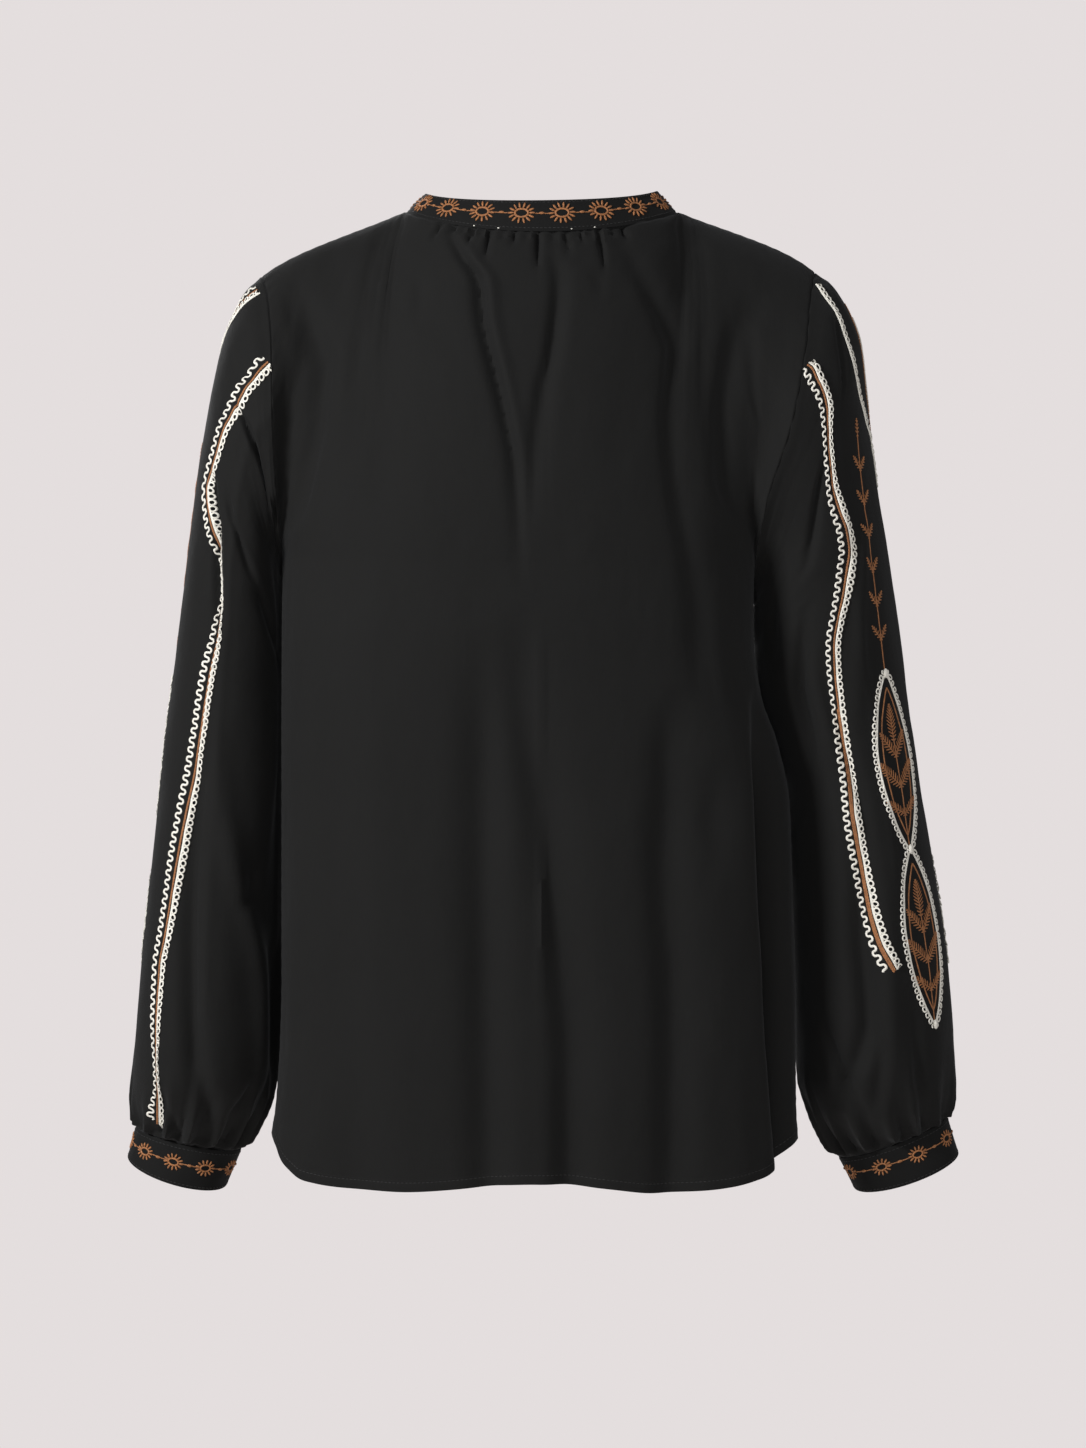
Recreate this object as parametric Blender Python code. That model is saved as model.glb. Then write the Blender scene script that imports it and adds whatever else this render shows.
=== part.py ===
"""A long-sleeved cotton blouse, as it hangs when worn: hollow, with every opening free.

+Z is up, +Y is the back and +X is the wearer's left. The origin is the middle of the
neck opening, level with the points where the shoulder seams meet the collar.
Tables are in millimetres. Each piece of cloth is a sheet of quads worked out from its
rings or columns and thickened towards the inside.
"""

import math

import bmesh
import bpy
import numpy as np

MM = 0.001
CLOTH_WALL = 1.3
BAND_WALL = 2.0
SEAM_GAP = 0.3

# Folds are placed as they show from this far behind the garment, at this height.
EYE_DISTANCE = 3000.0
EYE_HEIGHT = -358.0

# Body rings: height, half widths to the wearer's left and right, the depth station
# where the ring is widest, and the depths of the back and the front.
BODY_COLUMNS = ("z", "left", "right", "widest", "back", "front")
BODY = (
    (-690, 188, 178, 24, 100, -112),
    (-645, 187, 177.5, 25, 102, -113),
    (-620, 184, 176.5, 26, 104, -114),
    (-575, 181, 176, 28, 106, -116),
    (-534, 180, 175.5, 29, 107, -117),
    (-488, 180, 174, 30, 109, -118),
    (-446, 180, 173, 30, 110, -119),
    (-411, 180, 171.5, 30, 110, -120),
    (-372, 180, 163.5, 30, 111, -120),
    (-340, 180, 152.5, 29, 111, -120),
    (-300, 180, 147, 26, 111, -118),
    (-258, 180, 147.5, 19, 109, -114),
    (-240, 180, 148.5, 15, 108, -112),
)
# How square the back and front halves of a body ring are: 2 is an ellipse.
BACK_SQUARE = 2.35
FRONT_SQUARE = 2.1

# Hem height by the seen distance from the middle, of the shirt-tail back and front.
HEM_COLUMNS = ("share", "back", "front")
HEM = (
    (-1.00, -645, -645),
    (-0.93, -659, -657),
    (-0.82, -669, -666),
    (-0.62, -675, -672),
    (-0.40, -677, -674),
    (-0.18, -673, -674),
    (0.02, -670, -674),
    (0.20, -673, -674),
    (0.45, -676, -674),
    (0.66, -675, -672),
    (0.84, -671, -668),
    (0.94, -660, -658),
    (1.00, -641, -641),
)
UNDERARM_Z = {"left": -243.0, "right": -258.0}

# The neck seam and the two shoulder seams.
NECK_HALF_WIDTH = 95.0
NECK_Y = -5.0
NECK_BACK_REACH = 67.0
NECK_FRONT_REACH = 80.0
NECK_BACK_DROP = 20.5
NECK_FRONT_DROP = 78.0
NECK_DROP_POWER = 1.2
# The share of a panel's width at the top that runs into the collar.
NECK_SHARE = 0.45
# How a panel arrives at the neck seam: lean towards the neck and climb, as shares of its
# rise at the middle of the back and the front, and in millimetres at the sides.
NECK_ARRIVAL = {1: (0.38, 0.64), -1: (0.3, 0.75)}
NECK_SIDE_LEAN = 62.0
NECK_SIDE_CLIMB = 24.0
# How it rolls over the shoulder seam: where the roll starts and how far on it is full, in
# neck shares, how flat it arrives, and how much plumper the cloth rises below it.
ROLL_START = 0.7
ROLL_SPAN = 0.6
ROLL_FLATNESS = 1.45
ROLL_PLUMP = 0.45
# The shoulder seam's end: its distance from the middle, its even drop and its last hook.
SHOULDER_LEFT = (196.0, 38.0, 7.0)
SHOULDER_RIGHT = (191.5, 34.0, 8.0)
HOOK_POWER = 6

# The armhole seams, by the angle round from the shoulder tip by way of the back.
ARMHOLE_COLUMNS = ("angle", "left_x", "left_y", "left_z", "right_x", "right_y", "right_z")
ARMHOLE = (
    (0, 196, -5, -45, -191.5, -5, -42),
    (30, 190.5, 25, -62, -187, 25, -60),
    (60, 186, 50, -99, -182, 50, -99),
    (90, 184.5, 64, -148, -171.5, 65, -152),
    (120, 182.5, 58, -198, -154, 62, -208),
    (150, 180.5, 38, -232, -147.5, 42, -245),
    (180, 180, 15, -243, -147.5, 19, -258),
    (210, 179.5, -14, -236, -152, -14, -250),
    (240, 178, -38, -206, -164, -40, -215),
    (270, 177.5, -52, -158, -170, -54, -165),
    (300, 180, -50, -105, -177, -50, -108),
    (330, 188, -32, -63, -185, -32, -62),
)

# Sleeve rings from the armhole to the cuff: outer and inner edge, depth of the middle,
# half depth, and how much lower the back edge lies than a level ring's.
SLEEVE_COLUMNS = ("outer_x", "outer_z", "inner_x", "inner_z", "y", "half_depth", "tilt")
SLEEVE_LEFT = (
    (196, -45, 180.4, -243, 6, 58, 0),
    (206, -55, 181.2, -247, 4, 59, 0),
    (216, -76, 181.5, -251, 2, 60, 0),
    (225, -100, 181.5, -256, 0, 61, 0),
    (232.5, -134, 181.5, -262, -2, 62, 0),
    (239, -172, 181.2, -270, -5, 62, 0),
    (244, -208, 180.8, -280, -8, 62, 0),
    (249.5, -248, 180.4, -294, -10, 62, 0),
    (254.5, -288, 180, -316, -12, 61, 0),
    (259.5, -330, 180, -346, -13, 61, 0),
    (265, -374, 180, -382, -14, 60, 0),
    (270, -420, 180, -424, -15, 60, 0),
    (275, -464, 180.5, -466, -16, 60, 0),
    (280.5, -516, 181, -516, -17, 60, 0),
    (285, -566, 182.5, -564, -18, 60, 0.02),
    (287.5, -598, 184, -597, -19, 57, 0.05),
    (288, -618, 190, -623, -20, 48, 0.08),
    (286.5, -632, 201, -643, -21, 38, 0.1),
    (285.5, -641, 211, -657, -22, 29, 0.12),
)
SLEEVE_RIGHT = (
    (-192, -42, -148, -258, 6, 58, 0),
    (-203, -50, -148.4, -263, 4, 59, 0),
    (-214.5, -68, -148.6, -268, 2, 60, 0),
    (-223.5, -92, -148.6, -273, 0, 61, 0),
    (-227.5, -125, -148.5, -280, -2, 62, 0),
    (-231, -160, -148.3, -288, -3, 62, 0),
    (-236, -195, -148.2, -297, -4, 62, 0),
    (-241.5, -230, -148.4, -308, -5, 62, 0),
    (-247, -270, -150, -325, -5, 61, 0),
    (-252, -306, -154, -348, -5, 60, 0),
    (-257.5, -348, -163, -376, -5, 60, 0),
    (-264, -390, -171.5, -408, -6, 60, 0),
    (-271, -432, -173.5, -444, -7, 60, 0),
    (-279, -480, -175, -488, -8, 60, 0),
    (-285.5, -530, -177.5, -534, -9, 60, 0),
    (-288.5, -572, -178.5, -574, -10, 60, 0.02),
    (-289.5, -598, -179, -603, -11, 57, 0.05),
    (-288.5, -617, -187, -629, -12, 48, 0.08),
    (-287, -627, -197.5, -648, -13, 38, 0.1),
    (-285, -633, -208.5, -662, -14, 29, 0.12),
)
# How far down a sleeve the armhole's shape dies out.
SLEEVE_BLEND = 0.28
# Only the columns near a panel's edge follow the armhole.
EDGE_POWER = 5

# Gaps wider than the seam gap where two sheets meet at a slant.
ARMHOLE_GAPS = 1.4
COLLAR_GAPS = 1.2

# Cuff rings, from the seam to the open end.
CUFF_LEFT = (
    (285.8, -641.5, 211.3, -657.5, -22, 29, 0.12),
    (292, -663, 222, -683, -23, 28, 0.28),
)
CUFF_RIGHT = (
    (-285.3, -633.5, -208.8, -662.5, -14, 29, 0.12),
    (-293.5, -660, -220, -684.5, -15, 28, 0.25),
)

# The stand collar: rise and inward lean of its top edge, at the middle and at the sides.
COLLAR_RISE_MIDDLE = 21.5
COLLAR_RISE_SIDE = 15.6
COLLAR_LEAN_MIDDLE = 8.0
COLLAR_LEAN_SIDE = 14.0
COLLAR_TILT = 0.012

# The front slit: its half width at the neck, the row where it ends, and the share of its
# width that is left there.
SLIT_HALF_WIDTH = 5.0
SLIT_FOOT = 1.36
SLIT_FOOT_SHARE = 0.3

# Folds: a half width to the wearer's left and right of the line, and a path of seen x,
# seen z and depth. A positive depth is a trough and a negative one a ridge.
BACK_FOLDS = (
    (7, 4, ((63, -15, 1), (55, -31, 3), (44, -48, 4), (41, -76, 4), (32, -112, 4),
            (24, -146, 3.5), (18, -182, 3), (14, -272, 0))),
    (4, 5, ((55, -15, 0), (47, -31, -2), (36, -48, -3), (33, -76, -2.5), (25, -112, -2),
            (18, -146, -1.5), (12, -182, 0))),
    (4, 7, ((-8, -28, 1), (-11, -48, 3), (-8, -84, 3.5), (0, -126, 3), (5, -171, 0))),
    (13, 13, ((-73, -48, 0), (-87, -76, 3), (-93, -98, 4), (-90, -132, 3.5),
              (-94, -188, 3.5), (-104, -244, 3.5), (-109, -296, 3), (-114.5, -349, 0))),
    (14, 12, ((187, -60, 0), (172, -84, 3), (164, -112, 4.5), (168, -146, 5), (174, -193, 4),
             (178, -224, 0))),
    (13, 13, ((-160, -56, 0), (-142, -84, 3), (-133, -109, 4), (-128, -148, 4.5), (-128, -188, 4),
              (-135, -222, 0))),
    (16, 16, ((42, -370, 0), (42, -430, 3), (40, -540, 5), (38, -684, 6))),
    (18, 22, ((15, -260, 0), (14, -330, 4), (-2, -420, 7), (-8, -470, 8), (-13, -517, 8),
              (-20, -594, 8), (-20, -680, 9))),
    (20, 18, ((-104, -290, 0), (-95, -331, 4), (-90, -384, 7), (-88, -454, 8), (-93, -559, 8),
              (-93, -684, 8))),
    (14, 14, ((-121, -380, 0), (-121, -419, 3), (-122, -470, 0))),
    (9, 12, ((-149, -352, 0), (-153, -380, 5), (-157, -420, 12), (-159, -450, 15),
             (-162, -507, 16), (-164, -554, 16), (-167, -610, 15), (-170, -665, 12))),
    (24, 24, ((150, -330, 0), (148, -420, 3), (140, -560, 4), (132, -684, 5))),
)
FRONT_FOLDS = (
    (9, 9, ((-40, -80, 3), (-46, -120, 4), (-50, -180, 3.5), (-46, -260, 0))),
    (9, 9, ((38, -80, 3), (48, -125, 4), (56, -190, 4), (58, -280, 0))),
    (10, 12, ((160, -84, 0), (142, -115, 4), (134, -160, 5), (138, -215, 0))),
    (12, 10, ((-158, -84, 0), (-142, -112, 4), (-134, -155, 5), (-138, -210, 0))),
    (22, 20, ((-60, -300, 0), (-66, -400, 6), (-72, -520, 8), (-70, -674, 9))),
    (20, 22, ((14, -330, 0), (16, -430, 6), (22, -540, 7), (20, -674, 8))),
    (22, 22, ((92, -290, 0), (98, -400, 6), (104, -520, 8), (102, -674, 8))),
    (16, 16, ((-128, -350, 0), (-130, -440, 4), (-134, -560, 6), (-132, -670, 6))),
)

# Gathers into the collar: where each meets the seam, its length and its depth.
GATHER_COLUMNS = ("x", "length", "depth")
BACK_GATHERS = (
    (69, 26, 1.6),
    (60, 14, 1.2),
    (47, 22, 2.0),
    (35, 30, 2.0),
    (18.6, 16, 1.6),
    (2.5, 34, 2.2),
    (-17, 24, 1.8),
    (-27, 15, 1.4),
    (-39, 40, 2.4),
    (-56, 18, 1.8),
)
FRONT_GATHERS = (
    (62, 20, 1.4),
    (50, 34, 2.0),
    (38, 18, 1.8),
    (27, 40, 2.2),
    (14, 22, 1.6),
    (-15, 26, 1.8),
    (-26, 36, 2.2),
    (-40, 18, 1.6),
    (-52, 30, 2.0),
    (-64, 16, 1.4),
)
GATHER_HALF_WIDTH = 3.6
# The length on a panel from the underarms to the neck, over which a gather's length counts.
GATHER_SPAN = 190.0
GATHER_AT_SEAM = 0.45

SLEEVE_LEFT_FOLDS = (
    (7, 9, ((216, -130, 0), (206, -152, 4), (196, -178, 6), (188, -212, 5), (184, -240, 0))),
    (8, 7, ((221, -185, 0), (217, -213, 3), (209, -236, 3), (201, -262, 0))),
    (4, 6, ((227, -190, 0), (228, -215, 4), (227.5, -250, 4.5), (226, -285, 0))),
    (5, 5, ((198, -262, 0), (195, -279, 3), (190, -300, 3.5), (185, -322, 0))),
    (8, 9, ((228, -345, 0), (225.5, -402, -3), (218, -449, -4), (209, -484, -4.5),
            (202, -508, -5), (197, -543, -5), (196, -588, -4), (200, -625, 0))),
    (11, 8, ((240, -370, 0), (240, -402, 3), (244, -449, 5), (246, -496, 6), (244.7, -566, 6),
             (239, -612, 4), (235, -640, 0))),
    (6, 6, ((205, -455, 0), (203, -468, 2.5), (206, -480, 2.5), (209, -492, 0))),
    (10, 10, ((192, -500, 0), (186, -530, 5), (186, -585, 5), (190, -620, 0))),
)
SLEEVE_RIGHT_FOLDS = (
    (5, 4, ((-205, -72, 0), (-208, -86, 2.5), (-212, -115, 3), (-211, -138, 0))),
    (7, 7, ((-226, -210, 0), (-225, -237, -2.5), (-223, -284, -3), (-221.6, -342, -2),
            (-222, -370, 0))),
    (8, 8, ((-199, -165, 0), (-195, -190, 3.5), (-190, -225, 4), (-186, -255, 0))),
    (5, 7, ((-184, -275, 0), (-181, -307, 5), (-180, -342, 7), (-186, -365, 5), (-190, -392, 0))),
    (8, 8, ((-163, -262, 0), (-161, -290, 3), (-164, -325, 0))),
    (9, 10, ((-215, -430, 0), (-216, -472, 5), (-214, -519, 6), (-222, -577, 6),
             (-214, -601, 5), (-208, -630, 0))),
    (6, 6, ((-256, -535, 0), (-260, -566, 3), (-264, -600, 3.5), (-265, -622, 0))),
    (9, 9, ((-240, -440, 0), (-243, -490, -3), (-243, -560, -3.5), (-240, -610, 0))),
)
# Folds on the front half of a sleeve: angle, distance along from 0 to 1, and depth.
SLEEVE_HIDDEN_FOLDS = (
    (8, 8, ((236, 0.16, 0), (232, 0.26, 5), (226, 0.36, 0))),
    (9, 9, ((262, 0.2, 0), (268, 0.32, 5), (262, 0.44, 0))),
    (10, 10, ((300, 0.5, 0), (296, 0.64, 5), (300, 0.8, 6), (306, 0.95, 0))),
    (10, 10, ((250, 0.52, 0), (246, 0.66, 5), (240, 0.82, 5), (236, 0.95, 0))),
)
# Gathers above a cuff: how many, how deep, their length and the share that they grow over.
WRIST_GATHERS = 16
WRIST_DEPTH = 2.4
WRIST_REACH = 0.11
WRIST_START = 0.22

# How fine the sheets are.
NECK_SIDE_COLUMNS = 3
SHOULDER_COLUMNS = 7
LOW_ROWS = 8
HIGH_ROWS = (
    1.07, 1.14, 1.215, 1.29, 1.365, 1.44, 1.515, 1.59,
    1.66, 1.73, 1.79, 1.845, 1.89, 1.93, 1.968, 2,
)
SLEEVE_ROWS = (
    0, 0.05, 0.1, 0.15, 0.2, 0.25, 0.3, 0.36, 0.42, 0.48, 0.54, 0.6, 0.66,
    0.72, 0.78, 0.83, 0.87, 0.905, 0.935, 0.96, 0.98, 1,
)
COLUMNS_EVEN_BY = 0.8
SHARP_DEGREES = 50.0

# Colour and roughness of the black cotton.
COTTON_COLOUR = (0.0165, 0.0165, 0.0175, 1.0)
COTTON_ROUGHNESS = 0.9


def column(table, names, name):
    """One named column of a table."""
    at = names.index(name)
    return np.array([row[at] for row in table], float)


def smooth(xs, ys, x):
    """A curve through a table's rows that never swings past them."""
    xs = np.asarray(xs, float)
    ys = np.asarray(ys, float)
    x = np.clip(x, xs[0], xs[-1])
    step = np.diff(xs)
    slope = np.diff(ys) / step
    product = slope[:-1] * slope[1:]
    total = np.where(product > 0, slope[:-1] + slope[1:], 1.0)
    inner = np.where(product > 0, 2 * product / total, 0.0)
    tangent = np.concatenate([slope[:1], inner, slope[-1:]])
    i = np.clip(np.searchsorted(xs, x) - 1, 0, len(xs) - 2)
    s = (x - xs[i]) / step[i]
    low = (1 + 2 * s) * (1 - s) ** 2 * ys[i] + s * (1 - s) ** 2 * step[i] * tangent[i]
    high = s * s * (3 - 2 * s) * ys[i + 1] + s * s * (s - 1) * step[i] * tangent[i + 1]
    return low + high


def stack(x, y, z):
    """Points from three arrays of any shapes that fit each other."""
    return np.stack(np.broadcast_arrays(x, y, z), axis=-1)


def neck_point(turn):
    """The neck seam at a turn from the middle back, positive to the wearer's left."""
    at_back = np.abs(turn) <= math.pi / 2
    fore_aft = np.abs(np.cos(turn))
    x = NECK_HALF_WIDTH * np.sin(turn)
    reach = np.where(at_back, NECK_BACK_REACH, -NECK_FRONT_REACH)
    drop = np.where(at_back, NECK_BACK_DROP, NECK_FRONT_DROP)
    return stack(x, NECK_Y + reach * fore_aft, -drop * fore_aft**NECK_DROP_POWER)


def body_ring(t, z, side):
    """The level ring at a height, t from -1 at the right side to 1 at the left."""
    heights = column(BODY, BODY_COLUMNS, "z")
    left, right, widest, back, front = (
        smooth(heights, column(BODY, BODY_COLUMNS, name), z) for name in BODY_COLUMNS[1:]
    )
    power = 2 / (BACK_SQUARE if side > 0 else FRONT_SQUARE)
    angle = np.abs(t) * math.pi / 2
    half = np.where(t >= 0, left, right)
    x = np.sign(t) * half * np.sin(angle) ** power
    reach = (back if side > 0 else front) - widest
    y = widest + reach * np.clip(np.cos(angle), 0, 1) ** power
    return stack(x, y, z)


def armhole(angle, arm):
    """The armhole seam, by degrees round from the shoulder tip by way of the back."""
    degrees = column(ARMHOLE, ARMHOLE_COLUMNS, "angle")
    degrees = np.concatenate([degrees[-2:] - 360, degrees, degrees[:3] + 360])
    axes = []
    for axis in "xyz":
        values = column(ARMHOLE, ARMHOLE_COLUMNS, f"{arm}_{axis}")
        values = np.concatenate([values[-2:], values, values[:3]])
        axes.append(smooth(degrees, values, angle))
    return stack(*axes)


def top_edge(t, side):
    """The neck seam for the inner share of a panel and the shoulder seam for the rest."""
    inside = np.clip(np.abs(t) / NECK_SHARE, 0, 1) * math.pi / 2
    turn = inside if side > 0 else math.pi - inside
    turn = np.sign(t) * turn
    neck = neck_point(turn)
    out = np.clip((np.abs(t) - NECK_SHARE) / (1 - NECK_SHARE), 0, 1)
    tip, drop, hook = (
        np.where(t >= 0, a, b) for a, b in zip(SHOULDER_LEFT, SHOULDER_RIGHT)
    )
    x = np.sign(t) * (NECK_HALF_WIDTH + (tip - NECK_HALF_WIDTH) * out)
    shoulder = stack(x, NECK_Y, -drop * out - hook * out**HOOK_POWER)
    on_shoulder = (np.abs(t) > NECK_SHARE)[..., None]
    return np.where(on_shoulder, shoulder, neck), turn


def ease(x):
    """0 to 1 with level ends."""
    x = np.clip(x, 0, 1)
    return x * x * (3 - 2 * x)


def body(t, v, side):
    """A body panel: v is 0 at the hem, 1 at the underarms and 2 at neck and shoulders."""
    t, v = np.broadcast_arrays(np.asarray(t, float), np.asarray(v, float))
    hem = smooth(
        column(HEM, HEM_COLUMNS, "share"),
        column(HEM, HEM_COLUMNS, "back" if side > 0 else "front"),
        np.sign(t) * np.sin(np.abs(t) * math.pi / 2),
    )
    underarm = UNDERARM_Z["right"] + (UNDERARM_Z["left"] - UNDERARM_Z["right"]) * (t + 1) / 2
    low = body_ring(t, hem + np.clip(v, 0, 1) * (underarm - hem), side)
    foot = body_ring(t, underarm, side)
    s = np.clip(v - 1, 0, 1)
    high = column_curve(t, s, foot, side)
    for arm, sign in (("left", 1), ("right", -1)):
        edge = np.full_like(t, sign)
        edge_foot = body_ring(edge, np.full_like(t, UNDERARM_Z[arm]), side)
        plain = column_curve(edge, s, edge_foot, side)
        angle = 180 * (1 - s) if side > 0 else 360 - 180 * (1 - s)
        weight = np.clip(sign * t, 0, 1) ** EDGE_POWER
        high = high + weight[..., None] * (armhole(angle, arm) - plain)
    apart = np.array((0, side * SEAM_GAP / 2, 0))
    return np.where((v > 1)[..., None], high, low) + apart


def column_curve(t, s, foot, side):
    """A cubic from the underarm ring to the top edge: plumb below, square to the edge above."""
    top, turn = top_edge(t, side)
    rise = top[..., 2] - foot[..., 2]
    run = foot[..., 1] - top[..., 1]
    across = ease(np.abs(t) / NECK_SHARE)
    on_shoulder = ease((np.abs(t) / NECK_SHARE - ROLL_START) / ROLL_SPAN)
    lean, climb = NECK_ARRIVAL[side]
    end_x = -(1 - on_shoulder) * NECK_SIDE_LEAN * np.sin(turn)
    end_y = -(1 - on_shoulder) * lean * rise * np.cos(turn)
    end_y = end_y - on_shoulder * ROLL_FLATNESS * run
    steep = climb * rise * np.cos(turn) ** 2 + NECK_SIDE_CLIMB * np.sin(turn) ** 2
    end_z = (1 - on_shoulder) * steep
    start_z = rise * (1 + ROLL_PLUMP * across)
    a = (2 * s**3 - 3 * s**2 + 1)[..., None]
    b = s**3 - 2 * s**2 + s
    c = (3 * s**2 - 2 * s**3)[..., None]
    d = s**3 - s**2
    return a * foot + c * top + stack(d * end_x, d * end_y, b * start_z + d * end_z)


def ring(angle, along, rows):
    """A tube's point: degrees round from its outer edge by way of the back, 0 to 1 along."""
    at = np.linspace(0, 1, len(rows))
    outer_x, outer_z, inner_x, inner_z, y, half_depth, tilt = (
        smooth(at, column(rows, SLEEVE_COLUMNS, name), along) for name in SLEEVE_COLUMNS
    )
    turn = np.radians(angle)
    out = np.cos(turn)
    back = half_depth * np.sin(turn)
    x = (outer_x + inner_x) / 2 + out * (outer_x - inner_x) / 2
    z = (outer_z + inner_z) / 2 + out * (outer_z - inner_z) / 2 - tilt * back
    return stack(x, y + back, z)


def sleeve(angle, along, arm):
    """A sleeve, whose first ring follows the armhole seam a seam gap away."""
    angle, along = np.broadcast_arrays(np.asarray(angle, float), np.asarray(along, float))
    rows = SLEEVE_LEFT if arm == "left" else SLEEVE_RIGHT
    outward = 1 if arm == "left" else -1
    seam = armhole(angle, arm) + np.array((outward * ARMHOLE_GAPS * SEAM_GAP, 0, 0))
    share = np.clip(1 - along / SLEEVE_BLEND, 0, 1)[..., None] ** 2
    return ring(angle, along, rows) + share * (seam - ring(angle, 0 * along, rows))


def seen(points):
    """Where points show from the eye, in millimetres on the plane y = 0."""
    scale = EYE_DISTANCE / (EYE_DISTANCE - points[..., 1])
    return points[..., 0] * scale, EYE_HEIGHT + (points[..., 2] - EYE_HEIGHT) * scale


def located(surface, path, us, vs):
    """The surface's own u and v, and the depth, of a path given as it shows."""
    x, z = seen(surface(us[None, :], vs[:, None]))
    found = []
    for path_x, path_z, depth in path:
        nearest = np.argmin((x - path_x) ** 2 + (z - path_z) ** 2)
        found.append((us[nearest % us.size], vs[nearest // us.size], depth))
    return found


def lines_of(surface, folds, us, vs):
    """Fold rows as lines in u by v, each with its two half widths."""
    return [(left, right, located(surface, path, us, vs)) for left, right, path in folds]


def fold_depth(u, v, speed, lines):
    """How far in the folds take each point, from how far it lies from each line."""
    total = np.zeros(np.broadcast(u, v).shape)
    for left, right, path in lines:
        rows = sorted(path, key=lambda row: row[1])
        at = np.array([row[1] for row in rows])
        keep = np.concatenate([[True], np.diff(at) > 1e-6])
        at = at[keep]
        middle = smooth(at, np.array([row[0] for row in rows])[keep], v)
        depth = smooth(at, np.array([row[2] for row in rows])[keep], v)
        off = (u - middle) * speed
        width = np.where(off > 0, left, right)
        total = total + depth * np.exp(-((off / width) ** 2))
    return total


def partials(surface, u, v, du, dv):
    """The surface's steps along u and v at each point, per unit of each."""
    along_u = (surface(u + du, v) - surface(u - du, v)) / (2 * du)
    along_v = (surface(u, v + dv) - surface(u, v - dv)) / (2 * dv)
    return along_u, along_v


def pushed(surface, u, v, du, dv, lines, outward, extra=0):
    """The surface with its folds: each point moved in along its own normal."""
    along_u, along_v = partials(surface, u, v, du, dv)
    normal = unit(np.cross(along_u, along_v) * outward)
    speed = np.linalg.norm(along_u, axis=-1)
    depth = fold_depth(u, v, speed, lines) + extra
    return surface(u, v) - depth[..., None] * normal, normal


def gather_lines(gathers):
    """Gathers as folds that start at the neck seam."""
    found = []
    for x, length, depth in gathers:
        turn = math.asin(x / NECK_HALF_WIDTH)
        t = turn / (math.pi / 2) * NECK_SHARE
        drop = length / GATHER_SPAN
        path = (
            (t * 1.04, 2 - drop, 0),
            (t * 1.02, 2 - drop / 2, 0.8 * depth),
            (t, 1.97, depth),
            (t, 2, GATHER_AT_SEAM * depth),
        )
        found.append((GATHER_HALF_WIDTH, GATHER_HALF_WIDTH, path))
    return found


def panel_columns(gathers, side):
    """Columns of a body panel: one in each gather and between two, and even ones outside."""
    seam = sorted(math.asin(row[0] / NECK_HALF_WIDTH) / (math.pi / 2) * NECK_SHARE for row in gathers)
    slit = math.asin(SLIT_HALF_WIDTH / NECK_HALF_WIDTH) / (math.pi / 2) * NECK_SHARE
    middle = [(a + b) / 2 for a, b in zip(seam, seam[1:]) if side > 0 or a * b > 0]
    if side < 0:
        middle += [-slit, slit]
    sides = []
    for sign, last in ((-1, seam[0]), (1, seam[-1])):
        inner = np.linspace(last, sign * NECK_SHARE, NECK_SIDE_COLUMNS + 1)[1:]
        outer = np.linspace(sign * NECK_SHARE, sign * 1.0, SHOULDER_COLUMNS + 1)[1:]
        sides += [*inner, *outer]
    return np.array(sorted([*sides, *seam, *middle]))


def unit(vectors):
    """Vectors scaled to a length of one."""
    return vectors / np.maximum(np.linalg.norm(vectors, axis=-1, keepdims=True), 1e-12)


def grid_inward(points, outward, closed=False):
    """The way in at each point of a grid, from its neighbours along rows and columns."""
    if closed:
        across = np.roll(points, -1, axis=1) - np.roll(points, 1, axis=1)
    else:
        across = np.gradient(points, axis=1)
    return unit(np.cross(across, np.gradient(points, axis=0)) * -outward)


def walled_mesh(name, outer, inward, wall, closed=False, without=()):
    """A closed mesh from a grid of outer points, rows by columns, and the way in at each."""
    rows, columns = outer.shape[:2]
    inner = outer + inward * wall
    cells = [
        (r, c)
        for r in range(rows - 1)
        for c in range(columns if closed else columns - 1)
        if (r, c) not in without
    ]
    faces = []
    edges = {}
    under = rows * columns
    for r, c in cells:
        d = (c + 1) % columns
        quad = (r * columns + c, r * columns + d, (r + 1) * columns + d, (r + 1) * columns + c)
        faces.append(quad)
        faces.append(tuple(under + k for k in reversed(quad)))
        for a, b in zip(quad, quad[1:] + quad[:1]):
            if (b, a) in edges:
                del edges[(b, a)]
            else:
                edges[(a, b)] = True
    for a, b in edges:
        faces.append((b, a, under + a, under + b))
    mesh = bpy.data.meshes.new(name)
    points = np.concatenate([outer.reshape(-1, 3), inner.reshape(-1, 3)]) * MM
    mesh.from_pydata(points.tolist(), [], faces)
    tidy = bmesh.new()
    tidy.from_mesh(mesh)
    loose = [vertex for vertex in tidy.verts if not vertex.link_faces]
    bmesh.ops.delete(tidy, geom=loose, context="VERTS")
    bmesh.ops.recalc_face_normals(tidy, faces=tidy.faces)
    tidy.to_mesh(mesh)
    tidy.free()
    mesh.shade_smooth()
    mesh.set_sharp_from_angle(angle=math.radians(SHARP_DEGREES))
    return mesh


def cloth(name, mesh):
    """A piece of cloth with its own material."""
    piece = bpy.data.objects.new(name, mesh)
    bpy.context.scene.collection.objects.link(piece)
    material = bpy.data.materials.new(f"{name}_cotton")
    material.use_nodes = True
    shader = material.node_tree.nodes["Principled BSDF"]
    shader.inputs["Base Color"].default_value = COTTON_COLOUR
    shader.inputs["Roughness"].default_value = COTTON_ROUGHNESS
    shader.inputs["Metallic"].default_value = 0.0
    mesh.materials.append(material)
    return piece


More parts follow.
